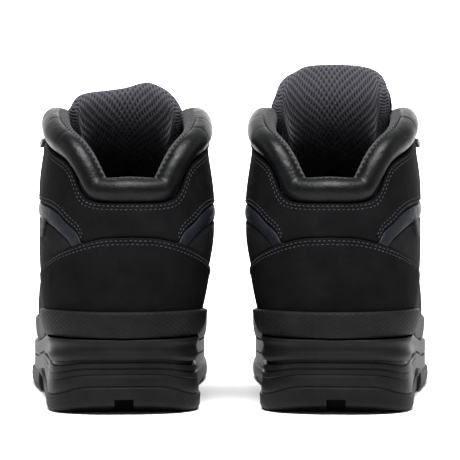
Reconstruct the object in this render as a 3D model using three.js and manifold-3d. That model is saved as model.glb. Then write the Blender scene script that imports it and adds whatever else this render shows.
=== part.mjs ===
// A pair of steel toe work boots: black leather hikers with a padded collar, standing side by side.
// Millimetres, +Z up. Each boot is drawn in its own frame: x to the outer side of the foot, y from
// the back of the heel towards the toe, z up from the ground. The left boot is the mirrored right one.
import * as THREE from "three";
import Module from "manifold-3d";
import { mergeVertices } from "three/addons/utils/BufferGeometryUtils.js";

const wasm = await Module();
wasm.setup();

// ---------------------------------------------------------------- driving dimensions
const SOLE_LENGTH = 304; // heel to toe, over the sole
const BALL_OUTER = 55; // half width of the sole at the ball, outer side
const BALL_INNER = 53; // the same on the inner side
const HEEL_HALF = 43.5; // half width of the sole at the heel
const WAIST_OUTER = 47; // half width of the sole under the arch, outer side
const WAIST_INNER = 43;
const HEEL_LIFT = 41.5; // ground to the top of the midsole at the heel
const BALL_LIFT = 27; // the same at the ball
const TOE_SPRING = 13; // how far the tread lifts off the ground at the tip of the toe
const RAND_HEIGHT = 15;
const COLLAR_BACK = 118; // ground to the leather's top edge at the back of the heel
const COLLAR_FRONT = 160; // ground to the leather's top edge at the front of the shaft
const TOE_BOX_HEIGHT = 77; // ground to the top of the toe box
const TONGUE_RISE = { left: 30, right: 36 }; // tongue above the leather's top edge at the front
const HEEL_SPACING = 115; // between the two heels' centre lines
const TOE_OUT = THREE.MathUtils.degToRad(3.5); // each boot turns its toe outwards

// walls, from the outside in
const LEATHER = 2.2;
const STIFFENER = 1.9; // heel counter
const STEEL = 1.9; // toe cap
const LINING = 3;
const RAND_WALL = 2.5;
const OVERLAY = 1.6; // raised overlays stand this far out of the leather
const GAP = 0.45; // clearance between neighbouring layers
const LOOSE = 1; // the same between the leather and what lines it
const SEAM = 0.6; // width of the joint between two leather panels
const WIDE_SEAM = 1.9; // the same where the joint crosses the bend of the instep
const EYESTAY_OUT = 1.2; // the eyestays stand this far out of the leather
const SEAT = 0.5; // the upper stands this far above the midsole
const TONGUE_FACE = 2;
const TONGUE_PAD = 5;
const COLLAR_RADIUS = { back: 7.2, side: 9.6, end: 5 };
const BOARD = 2.2;
const FOOTBED = 4.5;
const SHANK = { width: 15, thick: 1.6, from: 62, to: 182 };
const LACE_RADIUS = 1.9;
const OUTSOLE = { heel: 13, arch: 16, ball: 11 }; // top of the rubber above the ground
const ARCH_CLEARANCE = 11; // ground to the tread under the arch
const HEEL_BREAST = 94; // where the heel block ends
const BALL_START = 126; // where the forefoot tread starts
const TREAD_DEPTH = 4;
const GROOVE = 5; // width of a tread groove

const INNER_SKIN = -LEATHER; // offsets are measured from the leather's outer face, out of the boot
const BETWEEN = INNER_SKIN - LOOSE; // where the stiffeners and the lining start

// ---------------------------------------------------------------- small helpers
const { cos, acos, sin, PI, abs, max, min, sign } = Math;
const mix = (a, b, f) => a + (b - a) * f;
const clamp = (v, lo, hi) => min(hi, max(lo, v));
const ease = (v, lo, hi) => {
  const f = clamp((v - lo) / (hi - lo), 0, 1);
  return f * f * (3 - 2 * f);
};

// A smooth curve through [u, value] knots, straight beyond its ends.
function curve(knots, u) {
  const slope = (i) => {
    const a = knots[max(i - 1, 0)];
    const b = knots[min(i + 1, knots.length - 1)];
    return (b[1] - a[1]) / (b[0] - a[0]);
  };
  const last = knots.length - 1;
  if (u <= knots[0][0]) return knots[0][1] + slope(0) * (u - knots[0][0]);
  if (u >= knots[last][0]) return knots[last][1] + slope(last) * (u - knots[last][0]);
  const i = knots.findIndex((k) => k[0] > u) - 1;
  const [u0, v0] = knots[i];
  const [u1, v1] = knots[i + 1];
  const h = u1 - u0;
  const f = (u - u0) / h;
  return (
    v0 * (1 + 2 * f) * (1 - f) ** 2 +
    slope(i) * h * f * (1 - f) ** 2 +
    v1 * f * f * (3 - 2 * f) +
    slope(i + 1) * h * f * f * (f - 1)
  );
}

// How far a rounded end has opened at a share f of its length: 0 at the tip, 1 from f = 1 on.
const roundEnd = (f, power) => (f >= 1 ? 1 : (1 - (1 - max(f, 0)) ** power) ** (1 / power));

// q runs round the boot: 0 at the back of the heel, 1 at the tip of the toe, negative on the inner side.
function fold(q) {
  const a = ((((q + 1) % 2) + 2) % 2) - 1;
  return { side: sign(a) || 1, along: (1 - cos(PI * abs(a))) / 2 };
}
const roundAt = (share) => acos(1 - 2 * share) / PI; // the q of a share of the length

// ---------------------------------------------------------------- the sole's outline and levels
const L = SOLE_LENGTH;
const outerHalf = (y) =>
  curve([[0, HEEL_HALF], [0.12 * L, HEEL_HALF], [0.36 * L, WAIST_OUTER], [0.62 * L, BALL_OUTER], [0.76 * L, BALL_OUTER - 2], [L, BALL_OUTER - 14]], y);
const innerHalf = (y) =>
  curve([[0, HEEL_HALF], [0.12 * L, HEEL_HALF], [0.4 * L, WAIST_INNER], [0.66 * L, BALL_INNER], [0.8 * L, BALL_INNER], [L, BALL_INNER - 6]], y);
const centreLine = (y) => curve([[0, 0], [0.6 * L, 0], [0.85 * L, -3], [L, -9]], y); // toes turn in

function soleEdge(q) {
  const { side, along } = fold(q);
  const y = L * along;
  const half = (side > 0 ? outerHalf(y) : innerHalf(y)) * roundEnd(y / (0.13 * L), 2.5) * roundEnd((L - y) / (0.23 * L), 2.25);
  return new THREE.Vector2(centreLine(y) + side * half, y);
}

// The sole's outline moved outwards by grow.
function soleAt(q, grow) {
  const d = 1e-3;
  const t = soleEdge(q + d).sub(soleEdge(q - d)).normalize();
  return soleEdge(q).add(new THREE.Vector2(t.y, -t.x).multiplyScalar(grow));
}

const footLine = (y) =>
  curve([[0, HEEL_LIFT], [0.2 * L, HEEL_LIFT - 1], [0.36 * L, mix(BALL_LIFT, HEEL_LIFT, 0.5)], [0.53 * L, BALL_LIFT + 1.5], [0.68 * L, BALL_LIFT], [0.85 * L, BALL_LIFT + 2], [L, BALL_LIFT + TOE_SPRING - 3]], y);
const treadLine = (y) => max(0, treadCurve(y));
const treadCurve = (y) =>
  y < HEEL_BREAST
    ? curve([[0, 4.5], [14, 0.6], [22, 0], [HEEL_BREAST, 0]], y)
    : y < BALL_START
      ? ARCH_CLEARANCE
      : curve([[BALL_START, 0], [0.6 * L, 0], [0.78 * L, 0], [0.88 * L, 0.25 * TOE_SPRING], [L, TOE_SPRING]], y);
const rubberTop = (y) =>
  curve([[0, OUTSOLE.heel], [0.25 * L, OUTSOLE.heel], [0.36 * L, OUTSOLE.arch], [0.46 * L, OUTSOLE.ball + 1], [0.6 * L, OUTSOLE.ball], [0.8 * L, OUTSOLE.ball], [L, OUTSOLE.ball + TOE_SPRING]], y);

// ---------------------------------------------------------------- the upper's surface
// t climbs the leather: 0 at the sole, 1 at the top edge, and on to 1.2 for the tongue. Each value of
// t is one row round the boot, which joins a point on the heel's back line to one on the front line.
const UPPER_LENGTH = SOLE_LENGTH - 4;
const backY = (t) => curve([[0, 5], [0.15, 2.6], [0.3, 1.6], [0.5, 2.4], [0.7, 5.6], [0.85, 8.6], [1, 11.5]], t);
const backZ = (t) => mix(HEEL_LIFT + GAP, COLLAR_BACK, curve([[0, 0], [0.15, 0.15], [0.3, 0.31], [0.5, 0.55], [0.7, 0.75], [0.85, 0.88], [1, 1]], t));
const toeFoot = footLine(L) + GAP;
const frontZ = (t, rise) =>
  t > 1
    ? COLLAR_FRONT + (rise * (t - 1)) / 0.2
    : t < 0.4
      ? mix(toeFoot, TOE_BOX_HEIGHT, curve([[0, 0], [0.08, 0.18], [0.16, 0.42], [0.24, 0.66], [0.32, 0.85], [0.4, 1]], t))
      : mix(TOE_BOX_HEIGHT, COLLAR_FRONT, curve([[0.4, 0], [0.48, 0.075], [0.56, 0.175], [0.64, 0.31], [0.72, 0.47], [0.8, 0.63], [0.9, 0.825], [1, 1]], t));
const frontY = (t) =>
  UPPER_LENGTH * curve([[0, 0.996], [0.08, 1.003], [0.16, 1], [0.24, 0.982], [0.32, 0.946], [0.4, 0.89], [0.48, 0.806], [0.56, 0.728], [0.64, 0.654], [0.72, 0.586], [0.8, 0.522], [0.9, 0.45], [1, 0.39], [1.1, 0.362], [1.2, 0.372]], t);
const rimShape = (v) => curve([[0, 0], [0.09, 0.015], [0.15, 0.1], [0.2, 0.27], [0.27, 0.48], [0.36, 0.62], [0.5, 0.71], [0.7, 0.81], [0.85, 0.9], [1, 1]], v);
const ankleSwell = (t) => curve([[0, 0], [0.15, 3.4], [0.35, 6.6], [0.6, 8.4], [0.8, 7.8], [1, 4], [1.2, 4]], t);
const vampSwell = (t) => curve([[0, 0], [0.15, 1.6], [0.3, 0], [0.45, -4], [0.6, -7], [1, -9]], t);
const SKIN_INSET = RAND_WALL + OVERLAY + GAP; // the leather starts this far inside the sole's edge

function skin(q, t, rise = TONGUE_RISE.right) {
  const { side, along } = fold(q);
  const y0 = backY(t);
  const y1 = frontY(t);
  const z0 = backZ(t);
  const z1 = frontZ(t, rise);
  const run = y1 - y0;
  const y = mix(y0, y1, along);
  const dip = footLine(y) - mix(HEEL_LIFT, footLine(L), along); // the sole's top sinks towards the ball
  const level = mix(along, rimShape(along), ease(t, 0.55, 1));
  const z = mix(z0, z1, level) + dip * (1 - ease(t, 0, 0.4));
  const atBall = ease(y, 0.33 * L, 0.6 * L);
  const swell = mix(ankleSwell(t), vampSwell(t), atBall);
  const half = (side > 0 ? outerHalf(y) : innerHalf(y)) - SKIN_INSET + swell;
  const heelRound = mix(0.13, 0.2, ease(t, 0, 0.6)) * L;
  const toeRound = curve([[0, 0.22], [0.2, 0.24], [0.4, 0.29], [0.6, 0.27], [0.8, 0.17], [1, 0.1], [1.2, 0.1]], t) * L;
  const open = roundEnd((along * run) / heelRound, 2.1) * roundEnd(((1 - along) * run) / toeRound, 2.1);
  return new THREE.Vector3(centreLine(y) * (1 - 0.6 * ease(t, 0.2, 0.6)) + side * half * open, y, z);
}

function skinNormal(q, t, rise) {
  const d = 2e-3;
  const round = skin(q + d, t, rise).sub(skin(q - d, t, rise));
  const up = skin(q, t + d, rise).sub(skin(q, t - d, rise));
  const out = round.cross(up).normalize();
  out.z *= ease(t, -0.01, 0.09); // level at the sole, so that walls stand flat on it
  return out.normalize();
}
const offSkin = (q, t, off, rise) => skin(q, t, rise).addScaledVector(skinNormal(q, t, rise), off);
const perT = (q, t) => skin(q, t + 0.01).distanceTo(skin(q, t - 0.01)) / 0.02; // mm for one unit of t
const perQ = (q, t) => skin(q + 0.01, t).distanceTo(skin(q - 0.01, t)) / 0.02;

// ---------------------------------------------------------------- seams between the panels
const randTop = (q) => {
  const y = mix(backY(0.1), frontY(0.1), fold(q).along);
  const wanted = footLine(y) + RAND_HEIGHT - (ease(y, 0.3 * L, 0.5 * L) - ease(y, 0.85 * L, L)) * 0.5;
  let t = 0.05;
  while (skin(q, t).z < wanted && t < 0.5) t += 0.004;
  return t;
};
const throatHalf = (t) => curve([[0.6, 15], [0.7, 19], [0.85, 26], [1, 36]], t); // half width of the lace opening
function throatEdge(t) {
  let [a, b] = [0.6, 1];
  for (let i = 0; i < 20; i++) {
    const q = (a + b) / 2;
    if ((skin(q, t).x - skin(-q, t).x) / 2 > throatHalf(t)) a = q;
    else b = q;
  }
  return a;
}
const eyestayBack = (t) => curve([[0.6, 0.74], [0.7, 0.75], [0.85, 0.725], [1, 0.66]], t);
const EYESTAY_FOOT = 0.6; // t where the eyestays and the ankle part start
const heelTop = (q) => curve([[0, 0.665], [0.08, 0.645], [0.17, 0.56], [0.25, 0.45], [0.34, 0.29], [0.43, 0.06], [0.5, -0.15]], abs(q));
const accentTop = (q) => curve([[0.16, 0.61], [0.205, 0.78], [0.26, 0.835], [0.34, 0.845], [0.5, 0.8], [0.66, 0.745], [0.76, 0.715]], abs(q));
const accentFoot = (q) => accentTop(q) - curve([[0.15, 0.16], [0.2, 0.12], [0.3, 0.105], [0.5, 0.085], [0.76, 0.06]], abs(q));
const ACCENT_START = 0.16; // q where the accent strip leaves the heel cover
const VAMP_BACK = 0.665; // q of the seam between the vamp and the side panels

// ---------------------------------------------------------------- building closed meshes
// Every piece has its corners at the same stations round the boot, so layered pieces run parallel.
const HALF_ROUND = [0, 0.04, 0.08, 0.12, 0.16, 0.205, 0.26, 0.34, 0.43, 0.5, 0.57, 0.64, 0.7, 0.755, 0.81, 0.86, 0.905, 0.95, 1];
const ROUND = [-1, 0, 1].flatMap((turn) => [
  ...HALF_ROUND.slice(1).reverse().map((q) => 2 * turn - q),
  ...HALF_ROUND.slice(0, -1).map((q) => 2 * turn + q),
]);
const NEAR = 0.016; // a station nearer than this to a piece's end is left out
function stationsBetween(from, to) {
  return [from, ...ROUND.filter((q) => q > from + NEAR && q < to - NEAR), to];
}

function mesh(points, faces, hand) {
  const g = new THREE.BufferGeometry();
  const xyz = new Float32Array(points.length * 3);
  points.forEach((p, i) => xyz.set([p.x * hand, p.y, p.z], 3 * i));
  g.setAttribute("position", new THREE.BufferAttribute(xyz, 3));
  g.setIndex(hand > 0 ? faces.flat() : faces.map(([a, b, c]) => [a, c, b]).flat());
  return g;
}

// A sheet of the upper with thickness, between two stations or right round as a ring. place(q, b)
// gives [q, t] for b from 0 at its lower edge to 1 at its upper edge. inner and outer are offsets
// from the skin, or functions of q, t and b.
function panel(hand, { from, to, place, inner, outer, rows, ring = false, columns: evenly, rise }) {
  const even = (n) => Array.from({ length: n }, (_, i) => mix(from, to, i / (n - 1)));
  const stations = ring ? ROUND.filter((q) => q >= -1 && q < 1) : evenly ? even(evenly) : stationsBetween(from, to);
  const value = (v, q, t, b) => (typeof v === "function" ? v(q, t, b) : v);
  const columns = stations.length;
  const points = [];
  for (const face of [outer, inner])
    for (const station of stations)
      for (let j = 0; j <= rows; j++) {
        const [q, t] = place(station, j / rows);
        points.push(offSkin(q, t, value(face, q, t, j / rows), rise));
      }
  const half = columns * (rows + 1);
  const at = (i, j, under) => (i % columns) * (rows + 1) + j + (under ? half : 0);
  const faces = [];
  const quad = (a, b, c, d) => faces.push([a, b, c], [a, c, d]);
  const spans = ring ? columns : columns - 1;
  for (let i = 0; i < spans; i++) {
    for (let j = 0; j < rows; j++) {
      quad(at(i, j), at(i + 1, j), at(i + 1, j + 1), at(i, j + 1));
      quad(at(i, j, 1), at(i, j + 1, 1), at(i + 1, j + 1, 1), at(i + 1, j, 1));
    }
    quad(at(i, 0, 1), at(i + 1, 0, 1), at(i + 1, 0), at(i, 0));
    quad(at(i, rows), at(i + 1, rows), at(i + 1, rows, 1), at(i, rows, 1));
  }
  if (!ring)
    for (let j = 0; j < rows; j++) {
      quad(at(0, j), at(0, j + 1), at(0, j + 1, 1), at(0, j, 1));
      quad(at(spans, j, 1), at(spans, j + 1, 1), at(spans, j + 1), at(spans, j));
    }
  return mesh(points, faces, hand);
}

// A slab with the sole's outline: levels from the bottom up, each with how far it grows and its height.
const HEEL_STEPS = 7;
const TOE_STEPS = 7;
const MIDDLE = [0.18, 0.25, HEEL_BREAST / L - 0.002, HEEL_BREAST / L + 0.002, 0.36, BALL_START / L - 0.002, BALL_START / L + 0.002, 0.5, 0.6, 0.7];
const soleStations = [
  ...Array.from({ length: HEEL_STEPS }, (_, i) => mix(0, roundAt(0.12), i / HEEL_STEPS)),
  roundAt(0.12),
  ...MIDDLE.map(roundAt),
  ...Array.from({ length: TOE_STEPS + 1 }, (_, i) => mix(roundAt(0.78), 1, i / TOE_STEPS)),
];
const aroundSole = [...soleStations.slice(0, -1), ...soleStations.slice(1).reverse().map((q) => -q)];

function slab(hand, levels, around = aroundSole, edgeAt = soleAt) {
  const n = around.length;
  const points = levels.flatMap(({ grow, z }) =>
    around.map((q) => {
      const y = L * fold(q).along;
      const edge = edgeAt(q, typeof grow === "function" ? grow(y) : grow);
      return new THREE.Vector3(edge.x, edge.y, z(edgeAt === soleAt ? y : edge.y));
    }),
  );
  const faces = [];
  for (let k = 0; k < levels.length - 1; k++)
    for (let i = 0; i < n; i++) {
      const [a, b] = [k * n + i, k * n + ((i + 1) % n)];
      faces.push([a, b, b + n], [a, b + n, a + n]);
    }
  const top = (levels.length - 1) * n;
  for (let i = 0; i < n / 2; i++) {
    const [r0, r1, l0, l1] = [i, i + 1, (n - i) % n, n - i - 1];
    if (l0 !== r0) {
      faces.push([r0, l0, r1]);
      faces.push([top + r0, top + r1, top + l0]);
    }
    if (r1 !== l1) {
      faces.push([l0, l1, r1]);
      faces.push([top + l0, top + r1, top + l1]);
    }
  }
  return mesh(points, faces, hand);
}

// ---------------------------------------------------------------- joining and cutting
function bare(geometry) {
  const g = geometry.index ? geometry.toNonIndexed() : geometry.clone();
  for (const name of Object.keys(g.attributes)) if (name !== "position") g.deleteAttribute(name);
  return g;
}
function solid(geometry) {
  const merged = mergeVertices(bare(geometry), 1e-3);
  return new wasm.Manifold(
    new wasm.Mesh({ numProp: 3, vertProperties: merged.attributes.position.array, triVerts: new Uint32Array(merged.index.array) }),
  );
}
function geometryOf(made) {
  const m = made.getMesh();
  const g = new THREE.BufferGeometry();
  g.setAttribute("position", new THREE.BufferAttribute(new Float32Array(m.vertProperties), 3));
  g.setIndex(new THREE.BufferAttribute(new Uint32Array(m.triVerts), 1));
  return g;
}
function boxAt(hand, x, y, z, dx, dy, dz, turn = 0) {
  const g = new THREE.BoxGeometry(dx, dy, dz);
  g.rotateZ(hand * turn);
  return g.translate(x * hand, y, z);
}

// ---------------------------------------------------------------- the sole unit
function outsole(hand) {
  const body = slab(hand, [
    { grow: (y) => (y < HEEL_BREAST ? -1 : 1.5), z: treadLine },
    { grow: (y) => (y < HEEL_BREAST ? -1.4 : 0.6), z: rubberTop },
  ]);
  let made = solid(body);
  const cut = (g) => {
    made = made.subtract(solid(g));
  };
  const across = 2 * (BALL_OUTER + 20);
  const notch = 2 * TREAD_DEPTH; // a groove's block, half of it below the ground
  cut(boxAt(hand, 0, 6, 3.2, 11, 40, notch)); // the slot in the back of the heel
  for (const y of [40, 66]) cut(boxAt(hand, 0, y, 0, across, GROOVE, notch, 0));
  const first = BALL_START + 18;
  const rows = 5;
  const pitch = (0.86 * L - first) / (rows - 1);
  for (let i = 0; i < rows; i++) {
    const y = first + i * pitch;
    for (const s of [1, -1]) cut(boxAt(hand, s * 38, y, treadLine(y), 60, GROOVE, notch, s * 0.22));
  }
  cut(boxAt(hand, -2, (BALL_START + 0.9 * L) / 2, 0, 7, 0.9 * L - BALL_START - 14, notch));
  return geometryOf(made);
}

function midsole(hand) {
  const ridge = (depth) => (y) => -depth * (1 - ease(y, 0.2 * L, 0.36 * L)) - 0.4;
  const level = (share) => (y) => mix(rubberTop(y) + GAP, footLine(y) - SEAT, share);
  const body = slab(hand, [
    { grow: ridge(1.2), z: level(0) },
    { grow: ridge(1.6), z: level(0.4) },
    { grow: ridge(3.2), z: level(0.46) },
    { grow: ridge(3.2), z: level(0.6) },
    { grow: ridge(0.8), z: level(0.72) },
    { grow: 0.8, z: level(0.92) },
    { grow: 0, z: level(1) },
  ]);
  const slot = { width: SHANK.width + 2 * GAP, from: SHANK.from - GAP, to: SHANK.to + GAP };
  return geometryOf(solid(body).subtract(solid(shankBar(hand, slot.width, slot.from, slot.to, -SHANK.thick - 2 * GAP, 3))));
}

// A bar along the middle of the sole, between two heights above its top face.
function shankBar(hand, width, from, to, low, high) {
  const steps = 8;
  const points = [];
  const faces = [];
  for (let i = 0; i <= steps; i++) {
    const y = mix(from, to, i / steps);
    for (const [x, z] of [[-1, low], [1, low], [1, high], [-1, high]])
      points.push(new THREE.Vector3((x * width) / 2, y, footLine(y) + z));
  }
  const quad = (a, b, c, d) => faces.push([a, b, c], [a, c, d]);
  for (let i = 0; i < steps; i++)
    for (let k = 0; k < 4; k++) quad(4 * i + k, 4 * i + ((k + 1) % 4), 4 * (i + 1) + ((k + 1) % 4), 4 * (i + 1) + k);
  quad(3, 2, 1, 0);
  const e = 4 * steps;
  quad(e, e + 1, e + 2, e + 3);
  faces.forEach((f) => f.reverse());
  return mesh(points, faces, hand);
}
const shank = (hand) => shankBar(hand, SHANK.width, SHANK.from, SHANK.to, -SHANK.thick - GAP, -GAP);

// The board and the footbed lie inside the lining.
const aroundInside = [...HALF_ROUND, ...HALF_ROUND.slice(1, -1).reverse().map((q) => -q)];
const insideAt = (q, grow) => offSkin(q, 0.02, liningInner(q, 0.02) + grow);
const insoleBoard = (hand) =>
  slab(
    hand,
    [
      { grow: -2 * GAP, z: (y) => footLine(y) + GAP },
      { grow: -2 * GAP, z: (y) => footLine(y) + GAP + BOARD },
    ],
    aroundInside,
    insideAt,
  );
const footbed = (hand) => {
  const floor = (y) => footLine(y) + BOARD + 2 * GAP;
  const cup = (y) => FOOTBED + 1.5 * (1 - ease(y, 0.2 * L, 0.4 * L));
  return slab(
    hand,
    [
      { grow: -2 * GAP - 1, z: floor },
      { grow: -2 * GAP, z: (y) => floor(y) + cup(y) },
      { grow: -8, z: (y) => floor(y) + FOOTBED },
    ],
    aroundInside,
    insideAt,
  );
};

const rand = (hand) =>
  panel(hand, {
    place: (q, b) => [q, mix(0, randTop(q), b)],
    inner: OVERLAY + GAP,
    outer: (q, t, b) => SKIN_INSET - 0.2 * b,
    rows: 2,
    ring: true,
  });

// ---------------------------------------------------------------- the upper
const halfSeam = (q, t) => SEAM / 2 / perT(q, t);
const wrap = (low, high) => (q, b) => {
  const [t0, t1] = [low, high].map((edge) => (typeof edge === "function" ? edge(q) : edge));
  const joint = halfSeam(q, (t0 + t1) / 2);
  return [q, mix(t0 + joint, t1 - joint, b)];
};
const FLOOR = -0.002; // t of the leather's lower edge
const oneSide = (side, from, to) => (side > 0 ? { from, to } : { from: -to, to: -from });

const HEEL_COVER_HALF = 0.43;
const heelCover = (hand) =>
  panel(hand, { from: -HEEL_COVER_HALF, to: HEEL_COVER_HALF, place: wrap(FLOOR, heelTop), inner: INNER_SKIN, outer: 1.2, rows: 4 });

const TOP_EDGE = 1;
const frontSeam = (t) => eyestayBack(t) - WIDE_SEAM / perQ(0.7, 0.85);
const ankleWrap = (hand) => {
  const end = frontSeam(0.85);
  const low = (q) => (abs(q) < ACCENT_START - 1e-6 ? heelTop(q) : max(heelTop(q), accentTop(q)));
  return panel(hand, {
    from: -end,
    to: end,
    place: (q, b) => {
      const t = mix(low(q) + halfSeam(q, 0.8), TOP_EDGE, b);
      return [abs(q) === end ? sign(q) * frontSeam(t) : q, t];
    },
    inner: INNER_SKIN,
    outer: 0.5,
    rows: 3,
  });
};

const accent = (hand, side) =>
  panel(hand, {
    ...oneSide(side, ACCENT_START, frontSeam(0.7)),
    place: wrap((q) => max(accentFoot(q), heelTop(q)), accentTop),
    inner: INNER_SKIN,
    outer: (q, t, b) => 0.5 + 0.9 * sin(PI * b),
    rows: 2,
  });

const SIDE_START = 0.205;
const sidePanel = (hand, side) =>
  panel(hand, {
    ...oneSide(side, SIDE_START, VAMP_BACK - WIDE_SEAM / perQ(VAMP_BACK, 0.3)),
    place: wrap((q) => max(heelTop(q), FLOOR), accentFoot),
    inner: INNER_SKIN,
    outer: 0,
    rows: 4,
  });

const fromToe = (q) => abs(1 - (abs(q) > 1 ? 2 - abs(q) : abs(q)));
const vampTop = (q) => curve([[0, 0.605], [0.09, 0.59], [0.25, 0.59], [0.3, 0.6], [0.335, 0.64]], fromToe(q));
const toeCoverTop = (q) => curve([[0, 0.43], [0.12, 0.4], [0.2, 0.33], [0.3, 0.22], [0.335, 0.18]], fromToe(q));
const CAP_ROWS = 5; // rows up to the toe cover's edge, the same in every layer of the toe
const VAMP_ROWS = 8;
const overToe = (top, foot = FLOOR) => (q, b) => {
  const row = b * VAMP_ROWS;
  const edge = toeCoverTop(q);
  return [q, row <= CAP_ROWS ? mix(foot, edge, row / CAP_ROWS) : mix(edge, top(q), (row - CAP_ROWS) / (VAMP_ROWS - CAP_ROWS))];
};
const vamp = (hand) =>
  panel(hand, { from: VAMP_BACK, to: 2 - VAMP_BACK, place: overToe(vampTop), inner: INNER_SKIN, outer: 0, rows: VAMP_ROWS });

const TOE_COVER_HALF = 0.3;
const toeCover = (hand) =>
  panel(hand, {
    from: 1 - TOE_COVER_HALF,
    to: 1 + TOE_COVER_HALF,
    place: (q, b) => [q, mix(FLOOR, toeCoverTop(q), b)],
    inner: GAP,
    outer: OVERLAY,
    rows: CAP_ROWS,
  });

const eyestay = (hand, side) => {
  const [back, front] = [1, 2]; // the strip's two edges, in place of stations round the boot
  const edgeOf = (k, t) => mix(eyestayBack(t), throatEdge(t), k - back);
  return panel(hand, {
    ...oneSide(side, back, front),
    place: (k, b) => {
      const t = mix(EYESTAY_FOOT + 2 * halfSeam(0.85, 0.6), TOP_EDGE, b);
      return [side * edgeOf(abs(k), t), t];
    },
    inner: BETWEEN - LINING, // it takes the lining's place along the lace opening
    outer: EYESTAY_OUT,
    rows: 7,
    columns: 3,
  });
};

// ---------------------------------------------------------------- inside the upper
const COUNTER_HALF = 0.34;
const heelCounter = (hand) =>
  panel(hand, {
    from: -COUNTER_HALF,
    to: COUNTER_HALF,
    place: wrap(0.01, (q) => min(0.6, heelTop(q) - 0.02)),
    inner: BETWEEN - STIFFENER,
    outer: BETWEEN,
    rows: 4,
  });

const STEEL_HALF = 0.245;
const STEEL_SHARE = 0.96; // the steel stops just short of the toe cover's edge
const steelToeCap = (hand) =>
  panel(hand, {
    from: 1 - STEEL_HALF,
    to: 1 + STEEL_HALF,
    place: (q, b) => [q, mix(0.01, STEEL_SHARE * toeCoverTop(q), b)],
    inner: BETWEEN - STEEL,
    outer: BETWEEN,
    rows: CAP_ROWS,
  });

// The lining steps in where a stiffener lies outside it.
const stepIn = (q, t) => {
  const a = abs(q) > 1 ? 2 - abs(q) : abs(q);
  const heel = (1 - ease(a, 0.4, 0.5)) * (1 - ease(t, 0.66, 0.76));
  const toe = ease(a, 0.64, 0.73) * (1 - ease(t, 0.45, 0.53));
  return (STIFFENER + 2 * GAP) * max(heel, toe);
};
const underSeam = (q) => 0.7 * ease(abs(q), 0.57, 0.64) * (1 - ease(abs(q), 0.72, 0.8)); // clear of the vamp's corner
const liningOuter = (q, t) => BETWEEN - stepIn(q, t) - underSeam(q);
const liningInner = (q, t) => liningOuter(q, t) - LINING;

const SHAFT_SPLIT = 0.7; // the shaft lining's last station, which follows the vamp and the eyestay
const shaftLining = (hand) => {
  const frontAt = (t) => mix(VAMP_BACK - 0.008, frontSeam(t) - 0.03, ease(t, 0.5, 0.66));
  return panel(hand, {
    from: -SHAFT_SPLIT,
    to: SHAFT_SPLIT,
    place: (q, b) => {
      const t = mix(0, TOP_EDGE, b);
      return [abs(q) === SHAFT_SPLIT ? sign(q) * frontAt(t) : q, t];
    },
    inner: liningInner,
    outer: liningOuter,
    rows: 6,
  });
};
const vampLiningTop = (q) => curve([[0, 0.585], [0.2, 0.565], [0.255, 0.54], [0.335, 0.44]], fromToe(q));
const vampLining = (hand) => {
  const start = VAMP_BACK + WIDE_SEAM / perQ(VAMP_BACK, 0.3);
  return panel(hand, {
    from: start,
    to: 2 - start,
    place: overToe(vampLiningTop, 0),
    inner: liningInner,
    outer: liningOuter,
    rows: VAMP_ROWS,
  });
};

// ---------------------------------------------------------------- tongue
const TONGUE_FOOT = 0.57;
const TONGUE_TOP = 1.2;
const tongueEdge = (t) => curve([[0.57, 0.86], [0.7, 0.82], [0.9, 0.765], [1, 0.75], [1.08, 0.725], [1.15, 0.74], [1.19, 0.8], [1.2, 0.84]], t);
const TONGUE_COLUMNS = 7;
const TONGUE_SKIN = BETWEEN - LINING - 2 * GAP; // the tongue's outer face
// The tongue's sides curl into the shaft, inside the collar roll's front ends.
const curl = (q, t) => 9 * ease(t, 0.84, 0.97) * ease(fromToe(q), 0.1, 0.22);
const tongueLayer = (hand, rise, outer, thick, inset) =>
  panel(hand, {
    from: -1,
    to: 1,
    columns: TONGUE_COLUMNS,
    place: (k, b) => {
      const t = mix(TONGUE_FOOT, TONGUE_TOP - inset * 0.01, b ** 0.92);
      const half = 1 - (tongueEdge(t) + inset * 0.006);
      return [1 + k * half, t];
    },
    inner: (q, t) => outer - thick - curl(q, t),
    outer: (q, t) => outer - curl(q, t),
    rows: 7,
    rise,
  });
const tongueFace = (hand, rise) => tongueLayer(hand, rise, TONGUE_SKIN, TONGUE_FACE, 0);
const tonguePad = (hand, rise) => tongueLayer(hand, rise, TONGUE_SKIN - TONGUE_FACE - 1.5 * LOOSE, TONGUE_PAD, 0.8);

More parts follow.
